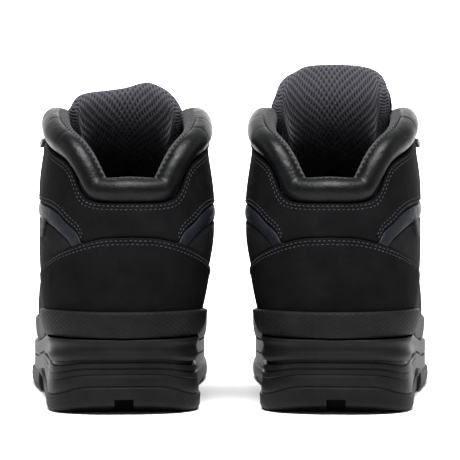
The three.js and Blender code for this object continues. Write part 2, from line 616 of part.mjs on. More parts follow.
// ---------------------------------------------------------------- collar roll
const COLLAR_END = 0.77; // q of the roll's front ends
const ROLL_SIDES = 8;
const rollRadius = (q) =>
  curve([[0, COLLAR_RADIUS.back], [0.2, COLLAR_RADIUS.back + 0.4], [0.45, COLLAR_RADIUS.side], [0.6, COLLAR_RADIUS.side], [COLLAR_END, COLLAR_RADIUS.end]], abs(q));
function rollPoint(q, angle) {
  const at = skin(q, TOP_EDGE);
  const out = skinNormal(q, TOP_EDGE);
  const ahead = skin(q + 0.004, TOP_EDGE).sub(skin(q - 0.004, TOP_EDGE)).normalize();
  const up = out.clone().cross(ahead).normalize();
  const r = rollRadius(q);
  return at
    .addScaledVector(up, r + GAP + r * sin(angle))
    .addScaledVector(out, -LEATHER - LINING / 2 + r * cos(angle));
}
function collarRoll(hand) {
  const stations = stationsBetween(-COLLAR_END, COLLAR_END);
  const points = [];
  const faces = [];
  for (const q of stations) for (let k = 0; k < ROLL_SIDES; k++) points.push(rollPoint(q, (2 * PI * k) / ROLL_SIDES));
  for (let i = 0; i < stations.length - 1; i++)
    for (let k = 0; k < ROLL_SIDES; k++) {
      const [a, b] = [i * ROLL_SIDES + k, i * ROLL_SIDES + ((k + 1) % ROLL_SIDES)];
      faces.push([a, a + ROLL_SIDES, b + ROLL_SIDES], [a, b + ROLL_SIDES, b]);
    }
  const end = (stations.length - 1) * ROLL_SIDES;
  for (let k = 1; k < ROLL_SIDES - 1; k++) {
    faces.push([0, k, k + 1]);
    faces.push([end, end + k + 1, end + k]);
  }
  return mesh(points, faces, hand);
}

// ---------------------------------------------------------------- hooks and lace
// A frame on the eyestay: u runs away from the lace opening, v up along it, n out of the leather.
function eyestayFrame(side, t, inset) {
  const q = side * (throatEdge(t) - inset / perQ(throatEdge(t), t));
  const n = skinNormal(q, t);
  const u = skin(q - side * 0.01, t).sub(skin(q, t));
  u.addScaledVector(n, -u.dot(n)).normalize();
  const v = n.clone().cross(u).multiplyScalar(-side);
  const base = skin(q, t).addScaledVector(n, EYESTAY_OUT + GAP);
  const at = (a, b, c) => base.clone().addScaledVector(u, a).addScaledVector(v, b).addScaledVector(n, c);
  return { u, v, n, base, at };
}

// A bent strip of metal, open away from the lace opening: its foot, neck and the tip over the lace.
const HOOK_METAL = 1.2;
const HOOK_ROOM = 2 * LACE_RADIUS + 0.6; // for the lace, under the tip
function hook(hand, side, { t, width, length }) {
  const { u, v, n, base } = eyestayFrame(side, t, HOOK_INSET);
  const top = HOOK_METAL + HOOK_ROOM;
  const neck = -length / 2;
  const outline = new THREE.Shape();
  outline.moveTo(neck, 0);
  outline.lineTo(length / 2, 0);
  outline.lineTo(length / 2, HOOK_METAL);
  outline.lineTo(neck + HOOK_METAL, HOOK_METAL);
  outline.lineTo(neck + HOOK_METAL, top);
  outline.lineTo(length / 2, top + 0.6);
  outline.lineTo(length / 2, top + HOOK_METAL + 0.8);
  outline.lineTo(neck + 1, top + HOOK_METAL);
  outline.lineTo(neck, top);
  const g = new THREE.ExtrudeGeometry(outline, { depth: width, bevelEnabled: false });
  g.translate(0, 0, -width / 2);
  const across = u.clone().cross(n);
  g.applyMatrix4(new THREE.Matrix4().makeBasis(u, n, across).setPosition(base));
  return hand > 0 ? g : flipped(g);
}
function flipped(geometry) {
  const g = mergeVertices(bare(geometry), 1e-3);
  g.scale(-1, 1, 1);
  g.setIndex(Array.from(g.index.array).reverse());
  return g;
}

const HOOK_INSET = 8.5; // from the edge of the lace opening to a hook's middle
const HOOKS = { upper: { t: 0.915, width: 7, length: 8 }, lock: { t: 0.765, width: 11, length: 9 } };
const LOOP_ROWS = [0.635, 0.695]; // t of the webbing loops below the hooks
const LACE_LIFT = HOOK_METAL + LACE_RADIUS + 0.25; // the lace's middle above the eyestay
const rows = [...LOOP_ROWS.map((t) => ({ t, bend: 3 })), HOOKS.lock, HOOKS.upper];

// The lace's turn at one row: in from the opening, round the hook or loop, and out again.
function turn(side, { t, width, bend }) {
  const { at } = eyestayFrame(side, t, HOOK_INSET);
  const half = (width ?? bend) / 2 + LACE_RADIUS + 3.6 * GAP;
  const reach = -HOOKS.upper.length / 2 + HOOK_METAL + LACE_RADIUS + 3.6 * GAP;
  return [[-11, -half], [reach - 3, -half], [reach, 1 - half / 2], [reach, half / 2 - 1], [reach - 3, half], [-11, half]].map(([u, v]) =>
    at(u, v, LACE_LIFT),
  );
}
const LACE_SAG = 0.4; // the lace between two rows dips this far under the eyestays
const overTongue = (q, t) => offSkin(q, t, LACE_RADIUS - LACE_SAG);

const round = new THREE.Shape();
round.absarc(0, 0, LACE_RADIUS, 0, 2 * PI, false);
function cord(points, steps) {
  const path = new THREE.CatmullRomCurve3(points, false, "centripetal");
  return new THREE.ExtrudeGeometry(round, { steps, extrudePath: path, curveSegments: 4, bevelEnabled: false });
}

// The lace crosses the opening between the rows, up to the top hooks, and comes back to the knot.
const KNOT = { t: 0.955, half: 6 };
function lace(hand) {
  const strands = [1, -1].map((start) => {
    const points = [overTongue(1, LOOP_ROWS[0] - 0.012)];
    rows.forEach((row, i) => {
      const side = i % 2 ? -start : start;
      points.push(...turn(side, row));
      const next = rows[i + 1];
      if (next) points.push(overTongue(1, (row.t + next.t) / 2));
    });
    points.push(overTongue(1, KNOT.t));
    return cord(points, 40);
  });
  const made = solid(strands[0]).add(solid(strands[1])).add(solid(knot()));
  return hand > 0 ? geometryOf(made) : flipped(geometryOf(made));
}
function knot() {
  const g = new THREE.SphereGeometry(KNOT.half, 8, 6);
  const p = offSkin(1, KNOT.t, 1);
  return g.scale(1, 0.8, 0.8).translate(p.x, p.y, p.z);
}

// Half of the bow: a loop out of the knot and back to it, then the free end down the front. Each
// point is across, down the slope and out of the leather from the knot.
const BOW = [[7, 0, 6], [13, -1, 10], [21, 3, 13], [28, 12, 14], [30, 22, 13], [24, 26, 13], [16, 19, 15], [10, 10, 15],
  [7, 12, 12], [8, 22, 11], [9, 34, 10.5], [10, 48, 10.5], [11, 62, 10.5], [11, 76, 10]];
function bowHalf(hand, side) {
  const at = offSkin(1, KNOT.t, 0);
  const n = skinNormal(1, KNOT.t);
  const down = new THREE.Vector3(1, 0, 0).cross(n).normalize();
  if (down.z > 0) down.negate();
  const points = BOW.map(([x, d, o]) =>
    at.clone().add(new THREE.Vector3(side * x, 0, 0)).addScaledVector(down, d).addScaledVector(n, o),
  );
  const g = cord(points, 22);
  return hand > 0 ? g : flipped(g);
}

// ---------------------------------------------------------------- assembly
const finish = (color, roughness, metalness = 0) => new THREE.MeshStandardMaterial({ color, roughness, metalness });
const materials = {
  rubber: finish(0x232325, 0.75),
  foam: finish(0x2a2a2c, 0.6),
  nubuck: finish(0x1d1d1f, 0.85),
  smooth: finish(0x26282b, 0.4),
  accent: finish(0x28282e, 0.6),
  mesh: finish(0x37353a, 0.95),
  board: finish(0xb59a74, 0.9),
  steel: finish(0x9a9c9e, 0.35, 1),
  plastic: finish(0x3a3a3c, 0.5),
  hook: finish(0x8b8f94, 0.35, 1),
  black_hook: finish(0x2e3034, 0.4, 0.6),
  lace: finish(0x1c1c1e, 0.9),
};

function boot(name, hand, rise) {
  const group = new THREE.Group();
  const add = (node, material, geometry) => {
    const made = new THREE.Mesh(geometry, materials[material]);
    made.name = `${name}_${node}`;
    group.add(made);
  };
  add("outsole", "rubber", outsole(hand));
  add("midsole", "foam", midsole(hand));
  add("rand", "rubber", rand(hand));
  add("shank", "steel", shank(hand));
  add("insole_board", "board", insoleBoard(hand));
  add("footbed", "mesh", footbed(hand));
  add("heel_cover", "nubuck", heelCover(hand));
  add("ankle_wrap", "nubuck", ankleWrap(hand));
  add("vamp", "nubuck", vamp(hand));
  add("toe_cover", "nubuck", toeCover(hand));
  for (const [word, side] of [["outer", 1], ["inner", -1]]) {
    add(`accent_${word}`, "accent", accent(hand, side));
    add(`side_panel_${word}`, "nubuck", sidePanel(hand, side));
    add(`eyestay_${word}`, "nubuck", eyestay(hand, side));
    add(`upper_hook_${word}`, "hook", hook(hand, side, HOOKS.upper));
    add(`lock_hook_${word}`, "black_hook", hook(hand, side, HOOKS.lock));
    add(`lace_end_${word}`, "lace", bowHalf(hand, side));
  }
  add("heel_counter", "plastic", heelCounter(hand));
  add("steel_toe_cap", "steel", steelToeCap(hand));
  add("shaft_lining", "mesh", shaftLining(hand));
  add("vamp_lining", "mesh", vampLining(hand));
  add("tongue_face", "smooth", tongueFace(hand, rise));
  add("tongue_pad", "mesh", tonguePad(hand, rise));
  add("collar_roll", "smooth", collarRoll(hand));
  add("lace", "lace", lace(hand));
  group.position.set((hand * HEEL_SPACING) / 2, 0, 0);
  group.rotation.z = -hand * TOE_OUT;
  return group;
}

const pair = new THREE.Group();
pair.add(boot("left", -1, TONGUE_RISE.left), boot("right", 1, TONGUE_RISE.right));
const bounds = new THREE.Box3().setFromObject(pair, true);
const middle = bounds.getCenter(new THREE.Vector3());
pair.position.set(-middle.x, -middle.y, -bounds.min.z);
export default pair;
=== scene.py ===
import math

import bmesh
import bpy
import numpy as np
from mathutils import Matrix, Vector


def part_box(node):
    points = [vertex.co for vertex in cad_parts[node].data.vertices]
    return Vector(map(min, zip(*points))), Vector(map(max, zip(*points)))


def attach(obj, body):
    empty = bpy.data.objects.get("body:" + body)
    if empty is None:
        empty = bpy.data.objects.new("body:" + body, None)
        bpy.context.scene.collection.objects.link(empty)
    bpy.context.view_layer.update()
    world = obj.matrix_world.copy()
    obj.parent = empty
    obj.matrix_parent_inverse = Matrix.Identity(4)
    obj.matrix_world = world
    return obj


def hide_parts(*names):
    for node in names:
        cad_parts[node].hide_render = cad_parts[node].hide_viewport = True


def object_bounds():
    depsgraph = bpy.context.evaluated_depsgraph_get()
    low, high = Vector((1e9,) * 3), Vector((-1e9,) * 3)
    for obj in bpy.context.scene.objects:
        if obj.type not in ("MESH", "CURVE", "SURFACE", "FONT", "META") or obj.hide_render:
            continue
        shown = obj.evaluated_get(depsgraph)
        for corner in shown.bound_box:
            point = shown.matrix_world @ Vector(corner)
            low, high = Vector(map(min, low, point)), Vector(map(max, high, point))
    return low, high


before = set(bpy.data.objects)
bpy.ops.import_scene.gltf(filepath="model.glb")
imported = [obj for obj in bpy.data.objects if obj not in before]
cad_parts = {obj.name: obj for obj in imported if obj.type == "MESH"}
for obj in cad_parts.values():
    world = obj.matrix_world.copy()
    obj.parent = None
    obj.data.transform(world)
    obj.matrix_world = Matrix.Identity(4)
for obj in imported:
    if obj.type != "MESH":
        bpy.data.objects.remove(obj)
cad_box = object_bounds()
BOOTS = (("left", -1), ("right", 1))

# --- The camera ---------------------------------------------------------------------------------
# It stands behind the heels at about their own height, with a long lens. Distances are metres.
CAMERA_BACK = 1.10
CAMERA_HEIGHT = 0.128
CAMERA_PITCH = math.radians(1.41)
lens = bpy.data.cameras.new("camera")
lens.sensor_width = 36
lens.lens = 159.3
lens.clip_start = 0.05
camera = bpy.data.objects.new("camera", lens)
camera.location = (0, cad_box[0][1] - CAMERA_BACK, CAMERA_HEIGHT)
camera.rotation_euler = (math.pi / 2 - CAMERA_PITCH, 0, 0)
bpy.context.scene.collection.objects.link(camera)
bpy.context.scene.camera = camera

# --- The last -----------------------------------------------------------------------------------
# Every piece of the upper is pulled over one shape, the shoemaker's last. It is drawn here as a
# surface in millimetres in the boot's own frame: x to the outer side, y from the heel to the toe.
# q runs round the boot, 0 at the heel and 1 at the toe, and t climbs from the sole to the top edge.
SOLE_LENGTH = 304
BALL_OUTER, BALL_INNER = 55, 53
HEEL_HALF = 43.5
WAIST_OUTER, WAIST_INNER = 47, 43
HEEL_LIFT, BALL_LIFT = 41.5, 27
TOE_SPRING = 13
COLLAR_BACK, COLLAR_FRONT = 115, 160
TOE_BOX_HEIGHT = 77
TONGUE_RISE = {"left": 30, "right": 36}
HEEL_SPACING = 115
TOE_OUT = math.radians(3.5)
UPPER_LENGTH = SOLE_LENGTH - 4
SKIN_INSET = 4.55
GAP = 0.45
LEATHER = 2.2
L = SOLE_LENGTH


def curve(knots, u):
    """A smooth line through (u, value) knots, straight beyond its ends."""
    at, value = np.array(knots, float).T
    last = len(at) - 1
    before = np.maximum(np.arange(last + 1) - 1, 0)
    after = np.minimum(np.arange(last + 1) + 1, last)
    slope = (value[after] - value[before]) / (at[after] - at[before])
    u = np.asarray(u, float)
    i = np.clip(np.searchsorted(at, u, side="right") - 1, 0, last - 1)
    h = at[i + 1] - at[i]
    f = (u - at[i]) / h
    inside = value[i] * (1 + 2 * f) * (1 - f) ** 2 + slope[i] * h * f * (1 - f) ** 2
    inside = inside + value[i + 1] * f * f * (3 - 2 * f) + slope[i + 1] * h * f * f * (f - 1)
    below = value[0] + slope[0] * (u - at[0])
    above = value[-1] + slope[-1] * (u - at[-1])
    return np.where(u < at[0], below, np.where(u > at[-1], above, inside))


def mix(a, b, f):
    return a + (b - a) * f


def ease(v, low, high):
    f = np.clip((np.asarray(v, float) - low) / (high - low), 0, 1)
    return f * f * (3 - 2 * f)


def round_end(f, power):
    """How far a rounded end has opened at a share f of its length."""
    f = np.clip(f, 0, 1)
    return (1 - (1 - f) ** power) ** (1 / power)


def fold(q):
    """The side of the boot, 1 outer and -1 inner, and the share of its length, for q."""
    a = (np.asarray(q, float) + 1) % 2 - 1
    return np.where(a < 0, -1.0, 1.0), (1 - np.cos(np.pi * np.abs(a))) / 2


def outer_half(y):
    widths = [(0, HEEL_HALF), (0.12 * L, HEEL_HALF), (0.36 * L, WAIST_OUTER), (0.62 * L, BALL_OUTER)]
    return curve(widths + [(0.76 * L, BALL_OUTER - 2), (L, BALL_OUTER - 14)], y)


def inner_half(y):
    widths = [(0, HEEL_HALF), (0.12 * L, HEEL_HALF), (0.4 * L, WAIST_INNER), (0.66 * L, BALL_INNER)]
    return curve(widths + [(0.8 * L, BALL_INNER), (L, BALL_INNER - 6)], y)


def centre_line(y):
    return curve([(0, 0), (0.6 * L, 0), (0.85 * L, -3), (L, -9)], y)


def foot_line(y):
    """Height of the midsole's top."""
    heel = [(0, HEEL_LIFT), (0.2 * L, HEEL_LIFT - 1), (0.36 * L, mix(BALL_LIFT, HEEL_LIFT, 0.5))]
    ball = [(0.53 * L, BALL_LIFT + 1.5), (0.68 * L, BALL_LIFT), (0.85 * L, BALL_LIFT + 2)]
    return curve(heel + ball + [(L, BALL_LIFT + TOE_SPRING - 3)], y)


def back_y(t):
    return curve([(0, 5), (0.15, 2.6), (0.3, 1.6), (0.5, 2.4), (0.7, 5.6), (0.85, 8.6), (1, 11.5)], t)


def back_z(t):
    climb = curve([(0, 0), (0.15, 0.15), (0.3, 0.31), (0.5, 0.55), (0.7, 0.75), (0.85, 0.88), (1, 1)], t)
    return mix(HEEL_LIFT + GAP, COLLAR_BACK, climb)


def front_z(t, rise):
    toe = curve([(0, 0), (0.08, 0.18), (0.16, 0.42), (0.24, 0.66), (0.32, 0.85), (0.4, 1)], t)
    instep = [(0.4, 0), (0.48, 0.075), (0.56, 0.175), (0.64, 0.31), (0.72, 0.47), (0.8, 0.63)]
    instep = curve(instep + [(0.9, 0.825), (1, 1)], t)
    low = mix(foot_line(L) + GAP, TOE_BOX_HEIGHT, toe)
    high = mix(TOE_BOX_HEIGHT, COLLAR_FRONT, instep)
    return np.where(t > 1, COLLAR_FRONT + rise * (t - 1) / 0.2, np.where(t < 0.4, low, high))


def front_y(t):
    toe = [(0, 0.996), (0.08, 1.003), (0.16, 1), (0.24, 0.982), (0.32, 0.946), (0.4, 0.89)]
    instep = [(0.48, 0.806), (0.56, 0.728), (0.64, 0.654), (0.72, 0.586), (0.8, 0.522)]
    top = [(0.9, 0.45), (1, 0.39), (1.1, 0.362), (1.2, 0.372)]
    return UPPER_LENGTH * curve(toe + instep + top, t)


def rim_shape(v):
    back = [(0, 0), (0.03, 0.006), (0.073, 0.045), (0.097, 0.105), (0.119, 0.2), (0.133, 0.28), (0.165, 0.43)]
    return curve(back + [(0.223, 0.53), (0.41, 0.66), (0.6, 0.8), (0.75, 0.93), (0.88, 0.99), (1, 1)], v)


def skin(q, t, rise=36):
    q, t = np.broadcast_arrays(np.asarray(q, float), np.asarray(t, float))
    side, along = fold(q)
    y0, y1 = back_y(t), front_y(t)
    run = y1 - y0
    y = mix(y0, y1, along)
    dip = foot_line(y) - mix(HEEL_LIFT, foot_line(L), along)
    level = mix(along, rim_shape(along), ease(t, 0.55, 1))
    z = mix(back_z(t), front_z(t, rise), level) + dip * (1 - ease(t, 0, 0.4))
    ankle = curve([(0, 0), (0.15, 3.4), (0.35, 6.8), (0.6, 9.6), (0.8, 9.9), (1, 6.2), (1.2, 6.2)], t)
    instep = curve([(0, 0), (0.15, 1.6), (0.3, 0), (0.45, -4), (0.6, -7), (1, -9)], t)
    swell = mix(ankle, instep, ease(y, 0.33 * L, 0.6 * L))
    half = np.where(side > 0, outer_half(y), inner_half(y)) - SKIN_INSET + swell
    heel_round = mix(0.13, 0.2, ease(t, 0, 0.6)) * L
    toe_round = [(0, 0.22), (0.2, 0.24), (0.4, 0.29), (0.6, 0.27), (0.8, 0.17), (1, 0.1), (1.2, 0.1)]
    toe_round = curve(toe_round, t) * L
    opened = round_end(along * run / heel_round, 2.1) * round_end((1 - along) * run / toe_round, 2.1)
    x = centre_line(y) * (1 - 0.6 * ease(t, 0.2, 0.6)) + side * half * opened
    lean = curve([(0, 0), (0.3, 1.1), (0.5, 2.4), (0.65, 3.5), (1, 3.8), (1.2, 3.8)], t)
    return np.stack([x - lean * mix(1, 0.8 * ease(t, 0.6, 1), ease(y, 0.35 * L, 0.6 * L)), y, z], -1)


def unit(v):
    return v / np.maximum(np.linalg.norm(v, axis=-1, keepdims=True), 1e-12)


def skin_normal(q, t, rise=36):
    d = 2e-3
    round_boot = skin(q + d, t, rise) - skin(q - d, t, rise)
    up = skin(q, t + d, rise) - skin(q, t - d, rise)
    out = unit(np.cross(round_boot, up))
    out[..., 2] *= ease(np.broadcast_to(t, out.shape[:-1]), -0.01, 0.09)
    return unit(out)


def off_skin(q, t, off, rise=36):
    return skin(q, t, rise) + skin_normal(q, t, rise) * np.asarray(off, float)[..., None]


def mm_per_t(q, t):
    return np.linalg.norm(skin(q, t + 0.01) - skin(q, t - 0.01), axis=-1) / 0.02


def mm_per_q(q, t):
    return np.linalg.norm(skin(q + 0.01, t) - skin(q - 0.01, t), axis=-1) / 0.02


def q_at_half(t, half):
    """The q where the boot is this far from its middle, at its front."""
    low, high = np.full(np.shape(t), 0.6), np.ones(np.shape(t))
    for _ in range(24):
        q = (low + high) / 2
        wide = (skin(q, t)[..., 0] - skin(-q, t)[..., 0]) / 2 > half
        low, high = np.where(wide, q, low), np.where(wide, high, q)
    return low


def throat_edge(t):
    return q_at_half(t, curve([(0.6, 15), (0.7, 19), (0.85, 26), (1, 36)], t))


HEEL_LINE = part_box("right_heel_cover")[0][1] * 1000 - 0.35


def stand(points, hand):
    """From a boot's own millimetres to the pair's metres, toes turned out."""
    x, y, z = np.moveaxis(np.asarray(points, float), -1, 0)
    c, s = math.cos(TOE_OUT), math.sin(TOE_OUT)
    across = hand * (HEEL_SPACING / 2 + x * c + y * s)
    return np.stack([across, -x * s + y * c + HEEL_LINE, z], -1) / 1000


# --- Cutting and lasting ------------------------------------------------------------------------
# How each leather piece is made: a blank between two edges on the last, with skived, rounded edges.
def mesh_object(name, points, faces, hand, uv=None, smooth=True):
    mesh = bpy.data.meshes.new(name)
    faces = np.asarray(faces)
    if hand < 0:
        faces = faces[:, ::-1]
    mesh.from_pydata(stand(points, hand).tolist(), [], faces.tolist())
    if uv is not None:
        layer = mesh.uv_layers.new(name="lay")
        corners = np.empty(len(mesh.loops), int)
        mesh.loops.foreach_get("vertex_index", corners)
        layer.data.foreach_set("uv", np.asarray(uv, float)[corners].ravel())
    if smooth:
        mesh.shade_smooth()
    made = bpy.data.objects.new(name, mesh)
    bpy.context.scene.collection.objects.link(made)
    return made


def grid_faces(rows, columns, start=0, wrap=False):
    i = np.arange(rows if wrap else rows - 1)[:, None]
    j = np.arange(columns - 1)[None, :]
    a = i * columns + j
    b = (i + 1) % rows * columns + j
    return np.stack([a, b, b + 1, a + 1], -1).reshape(-1, 4) + start


def shell(name, hand, outer, inner, wrap=False):
    """A closed piece between an outer and an inner grid of points, with its lay in metres as UVs."""
    rows, columns = outer.shape[:2]
    half = rows * columns
    points = np.concatenate([outer.reshape(-1, 3), inner.reshape(-1, 3)])
    face = grid_faces(rows, columns, 0, wrap)
    faces = [face, face[:, ::-1] + half]
    i = np.arange(rows if wrap else rows - 1)
    a, b = i * columns, (i + 1) % rows * columns
    top = columns - 1
    faces.append(np.stack([a + half, b + half, b, a], -1))
    faces.append(np.stack([a + top, b + top, b + top + half, a + top + half], -1))
    if not wrap:
        j = np.arange(columns - 1)
        faces.append(np.stack([j, j + 1, j + 1 + half, j + half], -1))
        far = (rows - 1) * columns + j
        faces.append(np.stack([far + half, far + 1 + half, far + 1, far], -1))
    u = np.linalg.norm(np.diff(outer, axis=0, prepend=outer[:1]), axis=2).cumsum(0)
    v = np.linalg.norm(np.diff(outer, axis=1, prepend=outer[:, :1]), axis=2).cumsum(1)
    u = u - u.mean(0, keepdims=True)
    lay = np.stack([u, v], -1).reshape(-1, 2) / 1000
    return mesh_object(name, points, np.concatenate(faces), hand, np.concatenate([lay, lay]))


def spaced(length, step, edge):
    """Shares of a length: fine near both ends, where an edge is rounded, and even between."""
    edge = min(edge, length / 4)
    fine = np.array([0, 0.12, 0.4, 1]) * edge / length
    steps = max(2, int(round(length / step)))
    return np.r_[fine[:-1], np.linspace(fine[-1], 1 - fine[-1], steps + 1), 1 - fine[:-1][::-1]]


def edge_distance(points):
    """Each point's distance in millimetres from the nearest edge of its piece."""
    u = np.linalg.norm(np.diff(points, axis=0, prepend=points[:1]), axis=2).cumsum(0)
    v = np.linalg.norm(np.diff(points, axis=1, prepend=points[:, :1]), axis=2).cumsum(1)
    return np.minimum(np.minimum(u, u[-1:] - u), np.minimum(v, v[:, -1:] - v))


def panel(
    name, hand, place, outer, inner, step=2.0, edge=0.8, puff=0.0, relief=None, rise=36, ring=False, both=False
):
    """A blank on the last. place(a, b) gives q and t for shares a round the boot and b up it.

    outer and inner are its two faces' distances from the last, step is the mesh's size, edge the
    rounding, puff how much the middle swells. ring closes it round the boot, and both rounds the
    inner face's edges too.
    """
    rough_a, rough_b = np.meshgrid(np.linspace(0, 1, 15), np.linspace(0, 1, 9), indexing="ij")
    rough = skin(*place(rough_a, rough_b), rise)
    round_boot = np.linalg.norm(np.diff(rough, axis=0), axis=2).sum(0).mean()
    height = np.linalg.norm(np.diff(rough, axis=1), axis=2).sum(1).mean()
    around = spaced(round_boot, step, edge)
    if ring:
        around = np.linspace(0, 1, int(round_boot / step), endpoint=False)
    a, b = np.meshgrid(around, spaced(height, step, edge), indexing="ij")
    q, t = place(a, b)
    at, out = skin(q, t, rise), skin_normal(q, t, rise)
    value = lambda v: v(q, t, b) if callable(v) else np.full(q.shape, float(v))
    inner_off, outer_off = value(inner), value(outer)
    if ring:
        v = np.linalg.norm(np.diff(at, axis=1, prepend=at[:, :1]), axis=2).cumsum(1)
        d = np.minimum(v, v[:, -1:] - v)
    else:
        d = edge_distance(at)
    r = np.minimum(edge, np.maximum(outer_off - inner_off, 0.1))
    short = np.clip(r - d, 0, None)
    rounded = r - np.sqrt(np.maximum(r * r - short * short, 0))
    outer_off = outer_off - rounded
    inner_off = inner_off + (rounded if both else 0)
    outer_off = outer_off + puff * (1 - np.exp(-d / 5))
    if relief is not None:
        outer_off = outer_off + relief(q, t, d)
    return shell(name, hand, at + out * outer_off[..., None], at + out * inner_off[..., None], wrap=ring)


def fit(piece, boot, nodes, material, body="boot"):
    """The piece rides on its body, stands for these CAD nodes and takes its material."""
    piece.data.materials.clear()
    piece.data.materials.append(material)
    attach(piece, f"{boot}_{body}")
    if nodes:
        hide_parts(*[f"{boot}_{node}" for node in nodes])
    return piece


def colour(code):
    """An sRGB hex colour as the linear RGBA that shaders use."""
    srgb = np.array([int(code[i : i + 2], 16) for i in (1, 3, 5)]) / 255
    linear = np.where(srgb <= 0.04045, srgb / 12.92, ((srgb + 0.055) / 1.055) ** 2.4)
    return (*linear.tolist(), 1.0)


def add(tree, kind, sockets=None, **settings):
    """Adds a shader node. Settings are its own; sockets are its inputs' values or links."""
    made = tree.nodes.new("ShaderNode" + kind)
    for name, value in settings.items():
        setattr(made, name, value)
    for name, value in (sockets or {}).items():
        if isinstance(value, bpy.types.NodeSocket):
            tree.links.new(value, made.inputs[name])
        else:
            made.inputs[name].default_value = value
    return made


def new_finish(name, **values):
    """A material and its node tree, with constants set on the shader's own sockets."""
    made = bpy.data.materials.new(name)
    made.use_nodes = True
    shader = made.node_tree.nodes["Principled BSDF"]
    for socket, value in values.items():
        shader.inputs[socket.replace("_", " ")].default_value = value
    return made, made.node_tree, shader


def mottled(tree, shader, dark, light, size):
    """Base colour that drifts between two shades, in patches of about this size in metres."""
    place = add(tree, "TexCoord").outputs["Object"]
    cloud = add(tree, "TexNoise", {"Vector": place, "Scale": 1 / size, "Detail": 4.0, "Roughness": 0.62})
    ramp = add(tree, "ValToRGB", {"Fac": cloud.outputs["Fac"]})
    ramp.color_ramp.elements[0].position = 0.35
    ramp.color_ramp.elements[0].color = colour(dark)
    ramp.color_ramp.elements[1].position = 0.68
    ramp.color_ramp.elements[1].color = colour(light)
    tree.links.new(ramp.outputs["Color"], shader.inputs["Base Color"])
    return place


def rough_up(tree, shader, *heights):
    """Bump from (height socket, depth in metres) pairs, laid one over another."""
    normal = None
    for height, depth in heights:
        links = {"Height": height, "Distance": depth, "Strength": 1.0}
        if normal is not None:
            links["Normal"] = normal
        normal = add(tree, "Bump", links).outputs["Normal"]
    tree.links.new(normal, shader.inputs["Normal"])


# --- The lace -----------------------------------------------------------------------------------
# A round braided polyester boot lace, 3.8 mm thick. It crosses the tongue between webbing loops
# and metal hooks, is tied in front of the tongue, and ends in two loops and two free ends.
LACE_RADIUS = 1.9
EYESTAY_OUT = 1.2
HOOK_INSET = 16
HOOK_METAL = 1.2
HOOKS = {"upper": (0.915, 7, 8), "lock": (0.765, 11, 9)}  # t on the last, width and length
LOOP_ROWS = (0.635, 0.695)
LOOP_WIDTH = 3
LACE_LIFT = HOOK_METAL + LACE_RADIUS + 0.25
KNOT_T = 0.955
BOW = (
    (7, 0, 6), (13, -1, 10), (21, 3, 13), (28, 12, 14), (30, 22, 13), (24, 26, 13), (16, 19, 15),
    (10, 10, 15), (7, 12, 12), (8, 22, 11), (9, 34, 10.5), (10, 48, 10.5), (11, 62, 10.5), (11, 76, 10),
)


def polyester_braid(name, dark, light):
    """Braided polyester: two sets of flat yarns cross at a slant in small diamonds. Its colour is a painted
    highlight on each yarn's crown and painted shade in the gaps.
    """
    made, tree, shader = new_finish(name, Roughness=0.75, Specular_IOR_Level=0.3)
    lay = add(tree, "TexCoord").outputs["UV"]
    turned = add(tree, "Mapping", {"Vector": lay, "Rotation": (0, 0, math.radians(45))})
    yarns = add(tree, "TexVoronoi", {"Vector": turned.outputs["Vector"], "Scale": 1 / 0.0013, "Randomness": 0.1})
    # Painted highlight and painted shade: the base colour is lighter at each yarn's raised crown and darker in the
    # low gaps between yarns.
    ramp = add(tree, "ValToRGB", {"Fac": yarns.outputs["Distance"]})
    ramp.color_ramp.elements[0].color = colour(light)
    ramp.color_ramp.elements[1].position = 0.75
    ramp.color_ramp.elements[1].color = colour(dark)
    tree.links.new(ramp.outputs["Color"], shader.inputs["Base Color"])
    rise = add(tree, "Math", {0: 1.0, 1: yarns.outputs["Distance"]}, operation="SUBTRACT")
    rough_up(tree, shader, (rise.outputs["Value"], 0.0004))
    return made


braid = polyester_braid("black_braided_polyester", "#101012", "#2a2a2d")


def smooth_route(points, step=0.8):
    """A centripetal Catmull-Rom line through points, sampled evenly."""
    p = np.asarray(points, float)
    p = np.concatenate([[2 * p[0] - p[1]], p, [2 * p[-1] - p[-2]]])
    parts = []
    f = np.linspace(0, 1, 24, endpoint=False)[:, None]
    for a, b, c, d in zip(p[:-3], p[1:-2], p[2:-1], p[3:]):
        h0, h1, h2 = (max(np.linalg.norm(v) ** 0.5, 1e-4) for v in (b - a, c - b, d - c))
        m1 = ((b - a) / h0 - (c - a) / (h0 + h1) + (c - b) / h1) * h1
        m2 = ((c - b) / h1 - (d - b) / (h1 + h2) + (d - c) / h2) * h1
        parts.append(b + m1 * f + (3 * (c - b) - 2 * m1 - m2) * f**2 + (2 * (b - c) + m1 + m2) * f**3)
    line = np.concatenate(parts + [p[-2:-1]])
    length = np.r_[0, np.linalg.norm(np.diff(line, axis=0), axis=1).cumsum()]
    even = np.linspace(0, length[-1], max(2, int(length[-1] / step)) + 1)
    return np.stack([np.interp(even, length, line[:, k]) for k in range(3)], -1)


